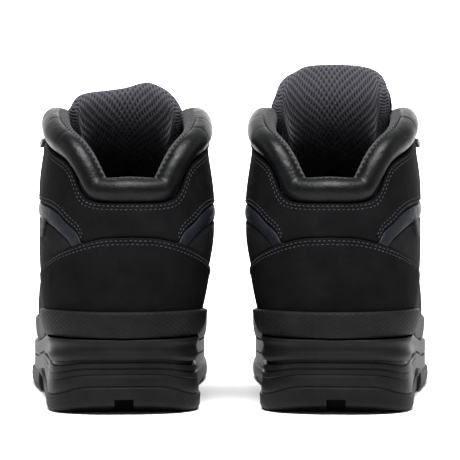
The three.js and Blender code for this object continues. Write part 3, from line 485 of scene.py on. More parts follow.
def rope(name, hand, line, radius):
    """A closed tube along a line, without twist, with its lay in metres as UVs."""
    ahead = unit(np.gradient(line, axis=0))
    side = np.cross(ahead[0], [0.3, 0.1, 1.0])
    frames = []
    for direction in ahead:
        side = side - direction * side.dot(direction)
        side = side / np.linalg.norm(side)
        frames.append((side, np.cross(direction, side)))
    sides = 10
    angle = np.linspace(0, 2 * math.pi, sides + 1)
    radius = np.broadcast_to(np.asarray(radius, float), (len(line),))
    rings = [
        at + r * (np.cos(angle)[:, None] * u + np.sin(angle)[:, None] * v)
        for at, r, (u, v) in zip(line, radius, frames)
    ]
    points = np.array(rings)
    travel = np.r_[0, np.linalg.norm(np.diff(line, axis=0), axis=1).cumsum()]
    u, v = np.meshgrid(travel, angle * np.mean(radius), indexing="ij")
    n = sides + 1
    faces = grid_faces(len(line), n)[:, ::-1]
    hub = len(line) * n
    points = np.concatenate([points.reshape(-1, 3), line[:1], line[-1:]])
    lay = np.concatenate([np.stack([u, v], -1).reshape(-1, 2), [[0, 0], [travel[-1], 0]]]) / 1000
    k = np.arange(sides)
    end = (len(line) - 1) * n
    first_cap = np.stack([np.full(sides, hub), k, k + 1], -1)
    last_cap = np.stack([np.full(sides, hub + 1), end + k + 1, end + k], -1)
    made = mesh_object(name, points, faces, hand, lay)
    add_triangles(made, np.concatenate([first_cap, last_cap]), hand)
    return made


def add_triangles(piece, triangles, hand):
    work = bmesh.new()
    work.from_mesh(piece.data)
    work.verts.ensure_lookup_table()
    for tri in triangles.tolist():
        work.faces.new([work.verts[i] for i in (tri if hand > 0 else tri[::-1])])
    bmesh.ops.remove_doubles(work, verts=work.verts, dist=1e-7)
    bmesh.ops.recalc_face_normals(work, faces=work.faces)
    work.to_mesh(piece.data)
    work.free()


def eyestay_frame(side, t, inset):
    """A frame on the eyestay: u away from the lace opening, v along it, n out of the leather."""
    q = side * (throat_edge(t) - inset / mm_per_q(throat_edge(t), t))
    n = skin_normal(q, t)
    u = skin(q - side * 0.01, t) - skin(q, t)
    u = unit(u - n * u.dot(n))
    v = np.cross(n, u) * -side
    base = skin(q, t) + n * (EYESTAY_OUT + GAP)
    return lambda a, b, c: base + u * a + v * b + n * c


def lace_turn(side, t, width):
    at = eyestay_frame(side, t, HOOK_INSET)
    half = width / 2 + LACE_RADIUS + 3.6 * GAP
    reach = -HOOKS["upper"][2] / 2 + HOOK_METAL + LACE_RADIUS + 3.6 * GAP
    route = ((-11, -half), (reach - 3, -half), (reach, 1 - half / 2))
    route += ((reach, half / 2 - 1), (reach - 3, half), (-11, half))
    return [at(u, v, LACE_LIFT) for u, v in route]


sleeve, sleeve_tree, sleeve_shader = new_finish("clear_shrink_sleeve", Roughness=0.25)
mottled(sleeve_tree, sleeve_shader, "#1a1a1c", "#232326", 0.004)
rows = [(t, LOOP_WIDTH) for t in LOOP_ROWS] + [HOOKS[k][:2] for k in ("lock", "upper")]
LACE_SAG = 0.4
over_tongue = lambda t, lift=0.0: off_skin(1.0, t, LACE_RADIUS - LACE_SAG + lift)
knot_at = off_skin(1.0, KNOT_T, 0.0)
knot_out = skin_normal(1.0, KNOT_T)
knot_down = unit(np.cross([1.0, 0, 0], knot_out))
knot_down = -knot_down if knot_down[2] > 0 else knot_down

for boot, hand in BOOTS:
    strands = []
    for start in (1, -1):
        route = [over_tongue(LOOP_ROWS[0] - 0.012)]
        for i, (t, width) in enumerate(rows):
            route += lace_turn(start * (-1) ** i, t, width)
            if i + 1 < len(rows):
                route.append(over_tongue((t + rows[i + 1][0]) / 2, 0.9 * start))
        route.append(over_tongue(KNOT_T))
        letter = "b" if start > 0 else "a"
        strands.append(rope(f"{boot}_lace_strand_{letter}", hand, smooth_route(route), LACE_RADIUS))
    turns = np.linspace(0, 2 * math.pi, 40)
    for k, tilt in enumerate((0.5, -0.6, 0.1)):
        loop = np.stack([4.2 * np.cos(turns), 2.2 * np.sin(turns + tilt), 2.6 * np.sin(turns)], -1)
        line = knot_at + loop[:, :1] * [1, 0, 0] + loop[:, 1:2] * knot_down
        line = line + (loop[:, 2:] + 2.2 + k) * knot_out
        strands.append(rope(f"{boot}_lace_knot_{k}", hand, line, LACE_RADIUS * 0.95))
    for strand in strands:
        fit(strand, boot, ["lace"], braid)
    for word, side in (("outer", 1), ("inner", -1)):
        route = [knot_at + [side * x, 0, 0] + knot_down * d + knot_out * out for x, d, out in BOW]
        line = smooth_route(route)
        bow = rope(f"{boot}_lace_bow_{word}", hand, line, LACE_RADIUS)
        fit(bow, boot, [f"lace_end_{word}"], braid)
        tip = smooth_route(line[-14:])
        aglet = rope(f"{boot}_aglet_{word}", hand, tip, LACE_RADIUS + 0.15)
        fit(aglet, boot, [], sleeve)

# --- Hooks and loops ----------------------------------------------------------------------------
# Speed hooks pressed from steel strip and plated gunmetal, with black painted locking hooks below
# them, each riveted through the eyestay. Lower down, folded webbing loops are sewn on instead.
def plated_steel(name, dark, light, roughness):
    """Pressed steel strip under a thin plating: metallic, with faint tumbling marks."""
    made, tree, shader = new_finish(name, Metallic=1.0)
    place = mottled(tree, shader, dark, light, 0.003)
    marks = add(tree, "TexNoise", {"Vector": place, "Scale": 1 / 0.0006, "Detail": 2.0})
    span = {"Value": marks.outputs["Fac"], "To Min": roughness, "To Max": roughness + 0.14}
    spread = add(tree, "MapRange", span)
    tree.links.new(spread.outputs["Result"], shader.inputs["Roughness"])
    rough_up(tree, shader, (marks.outputs["Fac"], 0.00003))
    return made


gunmetal = plated_steel("gunmetal_plated_steel", "#83878c", "#a9adb2", 0.24)
black_paint = plated_steel("black_painted_steel", "#26282b", "#3a3d42", 0.34)
black_paint.node_tree.nodes["Principled BSDF"].inputs["Metallic"].default_value = 0.4


def strip_bend(name, hand, at, line, widths, thick):
    """A bent strip: line is (u, n) points in the eyestay's frame, with a width at each."""
    line = np.asarray(line, float)
    ahead = unit(np.gradient(line, axis=0))
    out = np.stack([-ahead[:, 1], ahead[:, 0]], -1) * thick / 2
    rings = []
    for p, o, w in zip(line, out, widths):
        corner = min(0.35, thick / 3)
        across = (-w / 2, -w / 2 + corner, w / 2 - corner, w / 2)
        lift = (0.35, 1, 1, 0.35)
        ring = [at((p + o * k)[0], v, (p + o * k)[1]) for v, k in zip(across, lift)]
        ring += [at((p - o * k)[0], v, (p - o * k)[1]) for v, k in zip(across[::-1], lift)]
        rings.append(ring)
    points = np.array(rings)
    n = points.shape[1]
    flat = points.reshape(-1, 3)
    i, j = np.meshgrid(np.arange(len(line) - 1), np.arange(n), indexing="ij")
    a, b = i * n + j, i * n + (j + 1) % n
    sides = np.stack([a, a + n, b + n, b], -1).reshape(-1, 4)
    made = mesh_object(name, flat, sides, hand)
    work = bmesh.new()
    work.from_mesh(made.data)
    work.verts.ensure_lookup_table()
    work.faces.new([work.verts[k] for k in range(n)])
    work.faces.new([work.verts[len(flat) - 1 - k] for k in range(n)])
    bmesh.ops.recalc_face_normals(work, faces=work.faces)
    work.to_mesh(made.data)
    work.free()
    return made


def bent(points):
    """A strip's bend, as a smooth line through (u, n) points."""
    return smooth_route([(*p, 0) for p in points], 0.25)[:, :2]


def hook_line(length):
    top = HOOK_METAL + 2 * LACE_RADIUS + 0.6
    neck = -length / 2 + HOOK_METAL / 2
    foot = [(length / 2, 0.6), (0, 0.6), (neck + 1.0, 0.7), (neck + 0.1, 1.6), (neck, 3.2)]
    lip = [(neck + 1.1, top + 0.45), (length / 4, top + 0.7), (length / 2, top + 1.5)]
    return bent(foot + [(neck + 0.1, top - 0.6)] + lip)


def dome(name, hand, centre, n, radius, height):
    """A rivet's domed head."""
    angle = np.linspace(0, 2 * math.pi, 17)
    side = unit(np.cross(n, [0.2, 1.0, 0.1]))
    other = np.cross(n, side)
    rings = []
    for f in (0, 0.35, 0.65, 0.88, 0.98, 1.0):
        lift = height * math.sqrt(max(0, 1 - f * f))
        ring = np.cos(angle)[:, None] * side + np.sin(angle)[:, None] * other
        rings.append(centre + n * lift + radius * max(f, 0.02) * ring)
    points = np.array(rings)
    return mesh_object(name, points.reshape(-1, 3), grid_faces(*points.shape[:2])[:, ::-1], hand)


polyester_webbing = polyester_braid("black_polyester_webbing", "#17171a", "#303034")
for boot, hand in BOOTS:
    for word, side in (("outer", 1), ("inner", -1)):
        for kind, metal, slot in (("upper", gunmetal, "hook"), ("lock", black_paint, "black_hook")):
            t, width, length = HOOKS[kind]
            at = eyestay_frame(side, t, HOOK_INSET)
            line = hook_line(length)
            share = np.linspace(0, 1, len(line))
            waist = [(0, 0.55), (0.08, 0.9), (0.2, 1), (0.35, 0.62)]
            waist += [(0.6, 0.62), (0.85, 1), (0.96, 0.85), (1, 0.5)]
            widths = curve(waist, share) * width
            hook = strip_bend(f"{boot}_{kind}_hook_{word}_strip", hand, at, line, widths, HOOK_METAL)
            fit(hook, boot, [f"{kind}_hook_{word}"], metal)
            centre, tip = at(length / 2 - 2.2, 0, 1.1), at(length / 2 - 2.2, 0, 2.1)
            rivet = dome(f"{boot}_{kind}_hook_{word}_rivet", hand, centre, unit(tip - centre), 1.7, 0.9)
            fit(rivet, boot, [], metal)
        for k, t in enumerate(LOOP_ROWS):
            at = eyestay_frame(side, t, HOOK_INSET)
            up = [(8, 0.5), (4, 0.6), (1.6, 2.2), (0.4, 4.6), (-1.4, LACE_LIFT + 2.5)]
            line = bent(up + [(-3.4, 4.4), (-3.2, 1.6), (-1, 0.5), (3, 0.15)])
            loop = strip_bend(f"{boot}_loop_{word}_{k}", hand, at, line, np.full(len(line), 7.5), 0.9)
            fit(loop, boot, [], polyester_webbing)

# --- Leather ------------------------------------------------------------------------------------
# The upper's panels are cut from black waterproof nubuck: cowhide buffed on the grain side, so it
# is matt, a little velvety, and slightly uneven in shade. The seams are skived and laid flat.
def black_nubuck(name, dark, light):
    """Buffed cowhide: a fine nap, faint pores 0.6 mm apart and soft clouds where it was handled."""
    made, tree, shader = new_finish(name, Roughness=0.85, IOR=1.45, Specular_IOR_Level=0.035)
    place = mottled(tree, shader, dark, light, 0.014)
    nap = add(tree, "TexNoise", {"Vector": place, "Scale": 1 / 0.0007, "Detail": 3.0, "Roughness": 0.7})
    pores = add(tree, "TexVoronoi", {"Vector": place, "Scale": 1 / 0.0016})
    folds = add(tree, "TexNoise", {"Vector": place, "Scale": 1 / 0.018, "Detail": 2.0})
    rough_up(
        tree,
        shader,
        (folds.outputs["Fac"], 0.0012),
        (pores.outputs["Distance"], 0.00012),
        (nap.outputs["Fac"], 0.00018),
    )
    return made


nubuck = black_nubuck("black_nubuck", "#09090a", "#0e0e0f")
# A lighter copy of the same black nubuck for the side panels. It is painted light: the sides look brighter only
# because light falls on them from the sides.
side_lit_nubuck = black_nubuck("black_nubuck_painted_side_light", "#111112", "#1a1a1b")


def low_high(low, high, from_q, to_q):
    def place(a, b):
        q = mix(from_q, to_q, a)
        t0 = low(q) if callable(low) else low
        t1 = high(q) if callable(high) else high
        return q, mix(t0, t1, b)

    return place


SEAM = 0.35


def clear_seams(low, high):
    """The same edges drawn in by half a joint."""
    joint = lambda q: SEAM / 2 / mm_per_t(q, 0.6)
    bottom = low if callable(low) else (lambda q: np.full(np.shape(q), float(low)))
    top = high if callable(high) else (lambda q: np.full(np.shape(q), float(high)))
    return (lambda q: bottom(q) + joint(q)), (lambda q: top(q) - joint(q))


def heel_top(q):
    arch = [(0, 0.7), (0.08, 0.683), (0.17, 0.605), (0.25, 0.505), (0.34, 0.345), (0.43, 0.09), (0.5, -0.13)]
    return curve(arch, np.abs(q))


def accent_top(q):
    rise = [(0.125, 0.61), (0.165, 0.72), (0.22, 0.77), (0.28, 0.787), (0.34, 0.79)]
    return curve(rise + [(0.5, 0.77), (0.66, 0.74), (0.76, 0.715)], np.abs(q))


def accent_foot(q):
    width = [(0.12, 0.14), (0.165, 0.115), (0.2, 0.09), (0.3, 0.07), (0.5, 0.062), (0.76, 0.055)]
    return accent_top(q) - curve(width, np.abs(q))


def from_toe(q):
    a = np.abs(q)
    return np.abs(1 - np.where(a > 1, 2 - a, a))


def vamp_top(q):
    return curve([(0, 0.605), (0.09, 0.59), (0.25, 0.59), (0.3, 0.6), (0.335, 0.64)], from_toe(q))


def toe_cover_top(q):
    return curve([(0, 0.43), (0.12, 0.4), (0.2, 0.33), (0.3, 0.22), (0.335, 0.18)], from_toe(q))


def eyestay_back(t):
    return curve([(0.6, 0.74), (0.7, 0.75), (0.85, 0.725), (1, 0.66)], t)


ACCENT_START = 0.125
VAMP_BACK = 0.665
HEEL_COVER_HALF = 0.43
EYESTAY_FOOT = 0.6
FLOOR = 0.0


def wrap_low(q):
    a = np.abs(q)
    return np.where(a < ACCENT_START, heel_top(q), np.maximum(heel_top(q), accent_top(q)))


def wrap_place(a, b):
    end = eyestay_back(0.85) - 0.004
    q = mix(-end, end, a)
    t = mix(wrap_low(q) + 0.003, 1.0, b)
    far = eyestay_back(t) - 0.004
    return np.sign(q) * (np.abs(q) + (far - end) * ease(np.abs(q), 0.5, end)), t


def eyestay_place(side):
    def place(a, b):
        t = mix(EYESTAY_FOOT + 0.003, 1.0, b)
        f = a if side > 0 else 1 - a
        return side * mix(eyestay_back(t), throat_edge(t), f), t

    return place


def one_side(side, low, high, start, end):
    low, high = clear_seams(low, high)
    return low_high(low, high, *((start, end) if side > 0 else (-end, -start)))


def flex_crease(q, t, d):
    """The shallow crease where the vamp bends behind the toe cap."""
    return -0.55 * np.exp(-(((t - 0.52) / 0.012) ** 2)) * (1 - ease(from_toe(q), 0.18, 0.3))


INNER = -LEATHER
for boot, hand in BOOTS:
    low, high = clear_seams(FLOOR, heel_top)
    place = low_high(low, high, -HEEL_COVER_HALF, HEEL_COVER_HALF)
    cover = panel(f"{boot}_heel_cover_leather", hand, place, 1.3, INNER, puff=0.25, edge=1.1)
    fit(cover, boot, ["heel_cover"], nubuck)
    wrap = panel(f"{boot}_ankle_wrap_leather", hand, wrap_place, 0.5, INNER, puff=0.3)
    fit(wrap, boot, ["ankle_wrap"], nubuck)
    place = low_high(*clear_seams(FLOOR, vamp_top), VAMP_BACK, 2 - VAMP_BACK)
    vamp = panel(f"{boot}_vamp_leather", hand, place, 0.1, INNER, relief=flex_crease)
    fit(vamp, boot, ["vamp"], nubuck)
    place = low_high(*clear_seams(FLOOR, toe_cover_top), 0.7, 1.3)
    toe = panel(f"{boot}_toe_cover_leather", hand, place, 1.6, 0.2, puff=0.2, edge=1.1)
    fit(toe, boot, ["toe_cover"], nubuck)
    for word, side in (("outer", 1), ("inner", -1)):
        place = one_side(side, lambda q: np.maximum(heel_top(q), FLOOR), accent_foot, 0.16, VAMP_BACK - 0.004)
        flank = panel(f"{boot}_side_panel_{word}_leather", hand, place, 0.0, INNER, puff=0.5)
        # The side panels take the lighter nubuck, which is painted light standing for the light on the sides.
        fit(flank, boot, [f"side_panel_{word}"], side_lit_nubuck)
        place = eyestay_place(side)
        stay = panel(f"{boot}_eyestay_{word}_leather", hand, place, EYESTAY_OUT, -5.5, edge=1.0, puff=0.15)
        fit(stay, boot, [f"eyestay_{word}"], nubuck)

# --- The accent strips --------------------------------------------------------------------------
# A raised strip of smooth finished leather, rolled over a cord, runs from the heel along each side.
# It is a touch bluer than the nubuck and takes a dull shine along its crest.
def finished_leather(name, dark, light, roughness, spec=0.5, slack=0.0009):
    """Pigmented cowhide: small rounded grain under a thin resin coat, with a soft shine."""
    made, tree, shader = new_finish(name, IOR=1.5, Specular_IOR_Level=spec)
    place = mottled(tree, shader, dark, light, 0.009)
    cells = add(tree, "TexVoronoi", {"Vector": place, "Scale": 1 / 0.0011, "Randomness": 0.9}, feature="SMOOTH_F1")
    fine = add(tree, "TexNoise", {"Vector": place, "Scale": 1 / 0.0004, "Detail": 2.0})
    soft = add(tree, "TexNoise", {"Vector": place, "Scale": 1 / 0.008, "Detail": 3.0, "Roughness": 0.55})
    span = {"From Min": 0.3, "From Max": 0.7, "To Min": roughness - 0.05, "To Max": roughness + 0.1}
    rub = add(tree, "MapRange", {"Value": soft.outputs["Fac"], **span})
    tree.links.new(rub.outputs["Result"], shader.inputs["Roughness"])
    rough_up(
        tree,
        shader,
        (soft.outputs["Fac"], slack),
        (cells.outputs["Distance"], 0.00011),
        (fine.outputs["Fac"], 0.00004),
    )
    return made


strip_leather = finished_leather("black_pigmented_strip", "#101115", "#191a1f", 0.5, spec=0.1)
for boot, hand in BOOTS:
    for word, side in (("outer", 1), ("inner", -1)):
        end = eyestay_back(0.7) - 0.004
        foot = lambda q: np.maximum(accent_foot(q), heel_top(q))
        place = one_side(side, foot, accent_top, ACCENT_START + 0.004, end)
        crest = lambda q, t, b: 0.2 + 0.6 * np.sin(np.pi * b) ** 0.7
        strip = panel(f"{boot}_accent_{word}_strip", hand, place, crest, INNER, step=1.2, edge=0.5)
        fit(strip, boot, [f"accent_{word}"], strip_leather)

# --- The collar roll ----------------------------------------------------------------------------
# Soft foam 15 mm thick, wrapped in smooth leather and sewn down inside and out, so it sits on the
# top edge like a bolster. It creases across where the rim turns and has a tuck at the back.
COLLAR_BACK_RADIUS, COLLAR_SIDE_RADIUS, COLLAR_END_RADIUS = 7.7, 7.8, 6.0
COLLAR_END = 0.77
LINING = 3
roll_leather = finished_leather("black_pigmented_roll", "#060607", "#0a0b0c", 0.36, spec=0.12, slack=0.0003)


def roll_radius(q):
    radii = [(0, COLLAR_BACK_RADIUS), (0.14, 7.2), (0.22, 6.8), (0.3, 6.9), (0.45, COLLAR_SIDE_RADIUS)]
    return curve(radii + [(0.6, COLLAR_SIDE_RADIUS), (COLLAR_END, COLLAR_END_RADIUS)], np.abs(q))


def roll_surface(q, angle, proud=0.0):
    """A point on the roll. Its centre line is eased over the rim's corners, as stuffed foam is."""
    centre, out, up = 0, 0, 0
    for shift, weight in zip((-0.045, -0.022, 0, 0.022, 0.045), (0.11, 0.24, 0.3, 0.24, 0.11)):
        p = q + shift
        side = skin_normal(p, 1.0)
        over = unit(np.cross(side, unit(skin(p + 0.004, 1.0) - skin(p - 0.004, 1.0))))
        r = roll_radius(p)[..., None]
        centre = centre + weight * (skin(p, 1.0) + over * (r + GAP) - side * (LEATHER + LINING / 2))
        out, up = out + weight * side, up + weight * over
    out, up = unit(out), unit(up)
    reach = roll_radius(q)[..., None] + np.asarray(proud, float)[..., None]
    return centre + out * reach * np.cos(angle)[..., None] + up * reach * np.sin(angle)[..., None]


def roll_seam(q):
    """The angle, inwards from the outer side, at which the leather meets the mesh."""
    seam = [(0, 1.12), (0.08, 1.25), (0.15, 1.5), (0.25, 1.62), (0.4, 1.75), (COLLAR_END, 1.85)]
    return curve(seam, np.abs(q))


rng = np.random.default_rng(7)
for boot, hand in BOOTS:
    round_rim, round_foam = np.linspace(-COLLAR_END, COLLAR_END, 260), np.linspace(0, 2 * np.pi, 57)
    q, angle = np.meshgrid(round_rim, round_foam, indexing="ij")
    creases = []
    for k in range(4):
        for s in (-1, 1):
            creases.append((s * (0.27 + 0.12 * k) + rng.uniform(-0.02, 0.02), rng.uniform(0.15, 0.4)))
    proud = -0.5 * np.exp(-((q / 0.006) ** 2)) * ease(-np.sin(angle - 0.4), 0.2, 0.9)
    for where, depth in creases:
        lean = where + 0.012 * np.sin(2 * angle + 9 * where)
        proud = proud - depth * np.exp(-(((q - lean) / 0.0045) ** 2)) * ease(np.cos(angle - 1.9), -0.4, 0.9)
    seam = np.abs(angle - roll_seam(q))
    proud = proud - 1.0 * np.exp(-((seam / 0.08) ** 2))
    shut = round_end((COLLAR_END - np.abs(q)) / 0.02, 2.0)
    proud = proud - roll_radius(q) * (1 - shut) * 0.98
    points = roll_surface(q, angle, proud)
    travel = np.linalg.norm(np.diff(points[:, 14], axis=0, prepend=points[:1, 14]), axis=1).cumsum()
    lay = np.stack([np.broadcast_to(travel[:, None], q.shape), angle * 8], -1).reshape(-1, 2) / 1000
    faces = grid_faces(*q.shape)[:, ::-1]
    roll = mesh_object(f"{boot}_collar_bolster", points.reshape(-1, 3), faces, hand, lay)
    fit(roll, boot, ["collar_roll"], roll_leather)

# The inner side of the roll is faced with the same air mesh as the tongue, from its seam downwards.
def air_mesh(name, hole, web, pitch_across, pitch_up, sheen=0.2):
    """Spacer knit: staggered rows of oval holes, with a fuzzy web of yarn between."""
    fuzz = {"Sheen_Weight": sheen, "Sheen_Roughness": 0.6}
    made, tree, shader = new_finish(name, Roughness=0.9, Specular_IOR_Level=0.1, **fuzz)
    lay = add(tree, "TexCoord").outputs["UV"]
    spread = add(tree, "Mapping", {"Vector": lay, "Scale": (1 / pitch_across, 1 / pitch_up, 1)})
    turned = add(tree, "Mapping", {"Vector": spread.outputs["Vector"], "Rotation": (0, 0, math.radians(45))})
    holes = add(tree, "TexVoronoi", {"Vector": turned.outputs["Vector"], "Scale": math.sqrt(2), "Randomness": 0.08})
    ramp = add(tree, "ValToRGB", {"Fac": holes.outputs["Distance"]})
    ramp.color_ramp.elements[0].position = 0.16
    ramp.color_ramp.elements[0].color = colour(hole)
    ramp.color_ramp.elements[1].position = 0.38
    ramp.color_ramp.elements[1].color = colour(web)
    tree.links.new(ramp.outputs["Color"], shader.inputs["Base Color"])
    place = add(tree, "TexCoord").outputs["Object"]
    yarn = add(tree, "TexNoise", {"Vector": place, "Scale": 1 / 0.0005, "Detail": 2.0})
    rough_up(tree, shader, (holes.outputs["Distance"], 0.0012), (yarn.outputs["Fac"], 0.00015))
    return made


facing_mesh = air_mesh("black_air_mesh_facing", "#050506", "#2b2a2d", 0.0034, 0.0028, 0.1)
for boot, hand in BOOTS:
    round_rim = np.linspace(-COLLAR_END + 0.012, COLLAR_END - 0.012, 240)
    q, share = np.meshgrid(round_rim, np.linspace(0, 1, 20), indexing="ij")
    angle = mix(roll_seam(q) + 0.06, 4.0, share)
    swell = 0.75 * round_end(share / 0.12, 2) * round_end((1 - share) / 0.1, 2)
    swell = swell * round_end((COLLAR_END - np.abs(q)) / 0.04, 2)
    facing = shell(f"{boot}_collar_facing", hand, roll_surface(q, angle, swell), roll_surface(q, angle, -1.5))
    fit(facing, boot, [], facing_mesh)

# --- The lining and the footbed -----------------------------------------------------------------
# Inside, the shaft and the toes are lined with knitted air mesh over 3 mm foam. A moulded foam
# footbed with the same mesh on top lies on the board, which is why so little light comes back.
lining_mesh = air_mesh("black_air_mesh_lining", "#0b0b0c", "#2b2b2e", 0.0030, 0.0022)
footbed_mesh = air_mesh("black_air_mesh_footbed", "#0e0e0f", "#232326", 0.0026, 0.0026)
BETWEEN = INNER - 1
for boot, hand in BOOTS:
    def lining_place(a, b):
        end = 0.7
        q = mix(-end, end, a)
        t = mix(0.02, 1.02, b)
        far = mix(VAMP_BACK, eyestay_back(t) - 0.02, ease(t, 0.5, 0.66))
        return np.sign(q) * (np.abs(q) + (far - end) * ease(np.abs(q), 0.5, end)), t

    lining = panel(f"{boot}_shaft_lining_mesh", hand, lining_place, BETWEEN, BETWEEN - LINING, step=3)
    fit(lining, boot, ["shaft_lining"], lining_mesh)
    place = low_high(0.02, lambda q: vamp_top(q) - 0.03, VAMP_BACK, 2 - VAMP_BACK)
    behind_cap = BETWEEN - 1.9
    toe_lining = panel(f"{boot}_vamp_lining_mesh", hand, place, behind_cap, behind_cap - LINING, step=4)
    fit(toe_lining, boot, ["vamp_lining"], lining_mesh)

# --- The tongue ---------------------------------------------------------------------------------
# A thick padded tongue: foam faced with coarse air mesh above, and a near-black knit layer below,
# joined by a seam that rises to a point. Its free top edge is turned over and stands unevenly.
TONGUE_FOOT = 0.57
TONGUE_TOPS = {
    "right": (
        (-1, 1.05), (-0.97, 1.085), (-0.92, 1.117), (-0.84, 1.138), (-0.685, 1.157), (-0.41, 1.174),
        (-0.1, 1.18), (0.28, 1.175), (0.43, 1.16), (0.67, 1.141), (0.8, 1.12), (0.91, 1.09), (1, 1.05),
    ),
    "left": (
        (-1, 1.02), (-0.95, 1.06), (-0.86, 1.092), (-0.74, 1.111), (-0.55, 1.12), (-0.07, 1.13),
        (0.22, 1.146), (0.44, 1.135), (0.6, 1.122), (0.77, 1.104), (0.9, 1.075), (1, 1.02),
    ),
}
TONGUE_LEAN = {"left": 0.0, "right": 2.0}
TONGUE_FACE_OUT = -7.1
TONGUE_PAD_OUT = TONGUE_FACE_OUT - 2 - 1.5
tongue_mesh = air_mesh("black_air_mesh_tongue", "#030304", "#37353c", 0.0034, 0.0042, 0.15)
# Below the seam the tongue is near black, with hardly any difference between holes and web, far darker than the
# mesh above.
near_black_tongue_knit = air_mesh("near_black_lower_tongue_knit", "#0a0a0b", "#0f0f10", 0.0016, 0.0016, 0.05)


def tongue_edge(t):
    side = [(0.57, 0.86), (0.7, 0.82), (0.9, 0.755), (1, 0.72), (1.1, 0.69), (1.2, 0.68)]
    return curve(side, t)


def tongue_curl(q, t):
    return 3 * ease(t, 0.84, 0.97) * (1 - ease(t, 1.0, 1.08)) * ease(from_toe(q), 0.1, 0.22)


def tongue_layer(name, boot, hand, low, high, outer, thick, inset=0.0, edge=2.4):
    """One layer of the tongue between two lines across it, leaning with the rest."""
    rise = TONGUE_RISE[boot]

    def place(a, b):
        k = mix(-1, 1, a)
        t = mix(low(k), high(k), b)
        return 1 + k * (1 - tongue_edge(t) - inset), t

    crease = lambda q, t: 2.6 * np.exp(-(((q - 1) / 0.02) ** 2)) * (1 - ease(t, 0.94, 1.05))
    inner = lambda q, t, b: outer - thick - tongue_curl(q, t) + (crease(q, t) if thick > 6 else 0)
    shape = lambda q, t, b: outer - tongue_curl(q, t)
    layer = panel(name, hand, place, shape, inner, step=1.4, edge=edge, rise=rise, both=True)
    lean = TONGUE_LEAN[boot] / 1000 * hand
    points = np.empty(len(layer.data.vertices) * 3)
    layer.data.vertices.foreach_get("co", points)
    points = points.reshape(-1, 3)
    points[:, 0] -= lean * ease(points[:, 2], 0.125, 0.175)
    layer.data.vertices.foreach_set("co", points.ravel())
    layer.data.update()
    return layer


def tongue_seam(k):
    return curve([(-1, 0.80), (-0.4, 0.852), (0, 0.885), (0.4, 0.852), (1, 0.80)], k)


for boot, hand in BOOTS:
    top = lambda k, boot=boot: curve(TONGUE_TOPS[boot], k)
    low, high = (lambda k: np.full(np.shape(k), TONGUE_FOOT)), (lambda k: top(k) - 0.02)
    face = tongue_layer(f"{boot}_tongue_leather", boot, hand, low, high, TONGUE_FACE_OUT, 2.0, 0.014, edge=0.9)
    fit(face, boot, ["tongue_face"], roll_leather, "tongue")
    low = lambda k: tongue_seam(k) + 0.004
    upper = tongue_layer(f"{boot}_tongue_mesh_pad", boot, hand, low, top, TONGUE_FACE_OUT - 2.2, 7.6, edge=3.4)
    fit(upper, boot, ["tongue_pad"], tongue_mesh, "tongue")
    low = lambda k: np.full(np.shape(k), TONGUE_FOOT + 0.005)
    lower = tongue_layer(f"{boot}_tongue_lower_pad", boot, hand, low, tongue_seam, TONGUE_PAD_OUT, 5.0, 0.006)
    fit(lower, boot, ["tongue_pad"], near_black_tongue_knit, "tongue")

# --- The sole unit ------------------------------------------------------------------------------
# A dark polyurethane midsole, with a waisted heel and moulded grooves, is bonded to a nitrile rubber
# outsole. The outsole's heel has a slot in its back, cross grooves, and lugs in front of the waist.
HEEL_BREAST, BALL_START = 94, 126
TREAD_DEPTH = 4
GROOVE = 5


def moulded_rubber(name, dark, light, roughness, grain, depth):
    """Moulded rubber: matt, with the mould's spark-eroded grain and a little dust-grey bloom."""
    made, tree, shader = new_finish(name, Roughness=roughness, IOR=1.52, Specular_IOR_Level=0.06)
    place = mottled(tree, shader, dark, light, 0.02)
    grit = add(tree, "TexNoise", {"Vector": place, "Scale": 1 / grain, "Detail": 3.0, "Roughness": 0.6})
    waves = add(tree, "TexNoise", {"Vector": place, "Scale": 1 / 0.012, "Detail": 2.0})
    rough_up(tree, shader, (waves.outputs["Fac"], 0.0004), (grit.outputs["Fac"], depth))
    return made


def sole_edge(q):
    """The sole's outline, blunt at the heel and rounder at the toe."""
    side, along = fold(q)
    y = L * along
    opened = round_end(y / (0.13 * L), 2.5) * round_end((L - y) / (0.23 * L), 2.25)
    half = np.where(side > 0, outer_half(y), inner_half(y)) * opened
    return np.stack([centre_line(y) + side * half, y], -1)


def sole_slab(name, hand, levels):
    """A closed slab with the sole's outline. Each level gives how far it grows and its height."""
    count = 420
    q = np.linspace(-1, 1, count, endpoint=False)
    base = sole_edge(q)
    ahead = unit(sole_edge(q + 1e-3) - sole_edge(q - 1e-3))
    out = np.stack([ahead[:, 1], -ahead[:, 0]], -1)
    y = L * fold(q)[1]
    rings = [np.concatenate([base + out * grow(q, y)[:, None], z(q, y)[:, None]], 1) for grow, z in levels]
    points = np.array(rings)
    i = np.arange(count)
    faces = []
    for k in range(len(levels) - 1):
        a, b = k * count + i, k * count + (i + 1) % count
        faces.append(np.stack([a, b, b + count, a + count], -1))
    half = count // 2
    j = np.arange(half)
    right, right_on = (half + j) % count, (half + j + 1) % count
    left, left_on = (half - j) % count, (half - j - 1) % count
    top = (len(levels) - 1) * count
    for base_index, turn in ((0, 1), (top, -1)):
        ring = np.stack([right, left, left_on, right_on], -1) + base_index
        faces.append(ring[:, ::turn])
    made = mesh_object(name, points.reshape(-1, 3), np.concatenate(faces), hand)
    work = bmesh.new()
    work.from_mesh(made.data)
    bmesh.ops.remove_doubles(work, verts=work.verts, dist=1e-7)
    bmesh.ops.dissolve_degenerate(work, edges=work.edges, dist=1e-7)
    bmesh.ops.recalc_face_normals(work, faces=work.faces)
    work.to_mesh(made.data)
    work.free()
    return made


def rubber_top(q, y):
    line = [(0, 15.4), (3.4, 14.8), (9.6, 12), (21.6, 9.6), (0.25 * L, 10.6), (0.36 * L, 16), (0.46 * L, 12)]
    return curve(line + [(0.6 * L, 11), (0.8 * L, 11), (L, 11 + TOE_SPRING)], y)


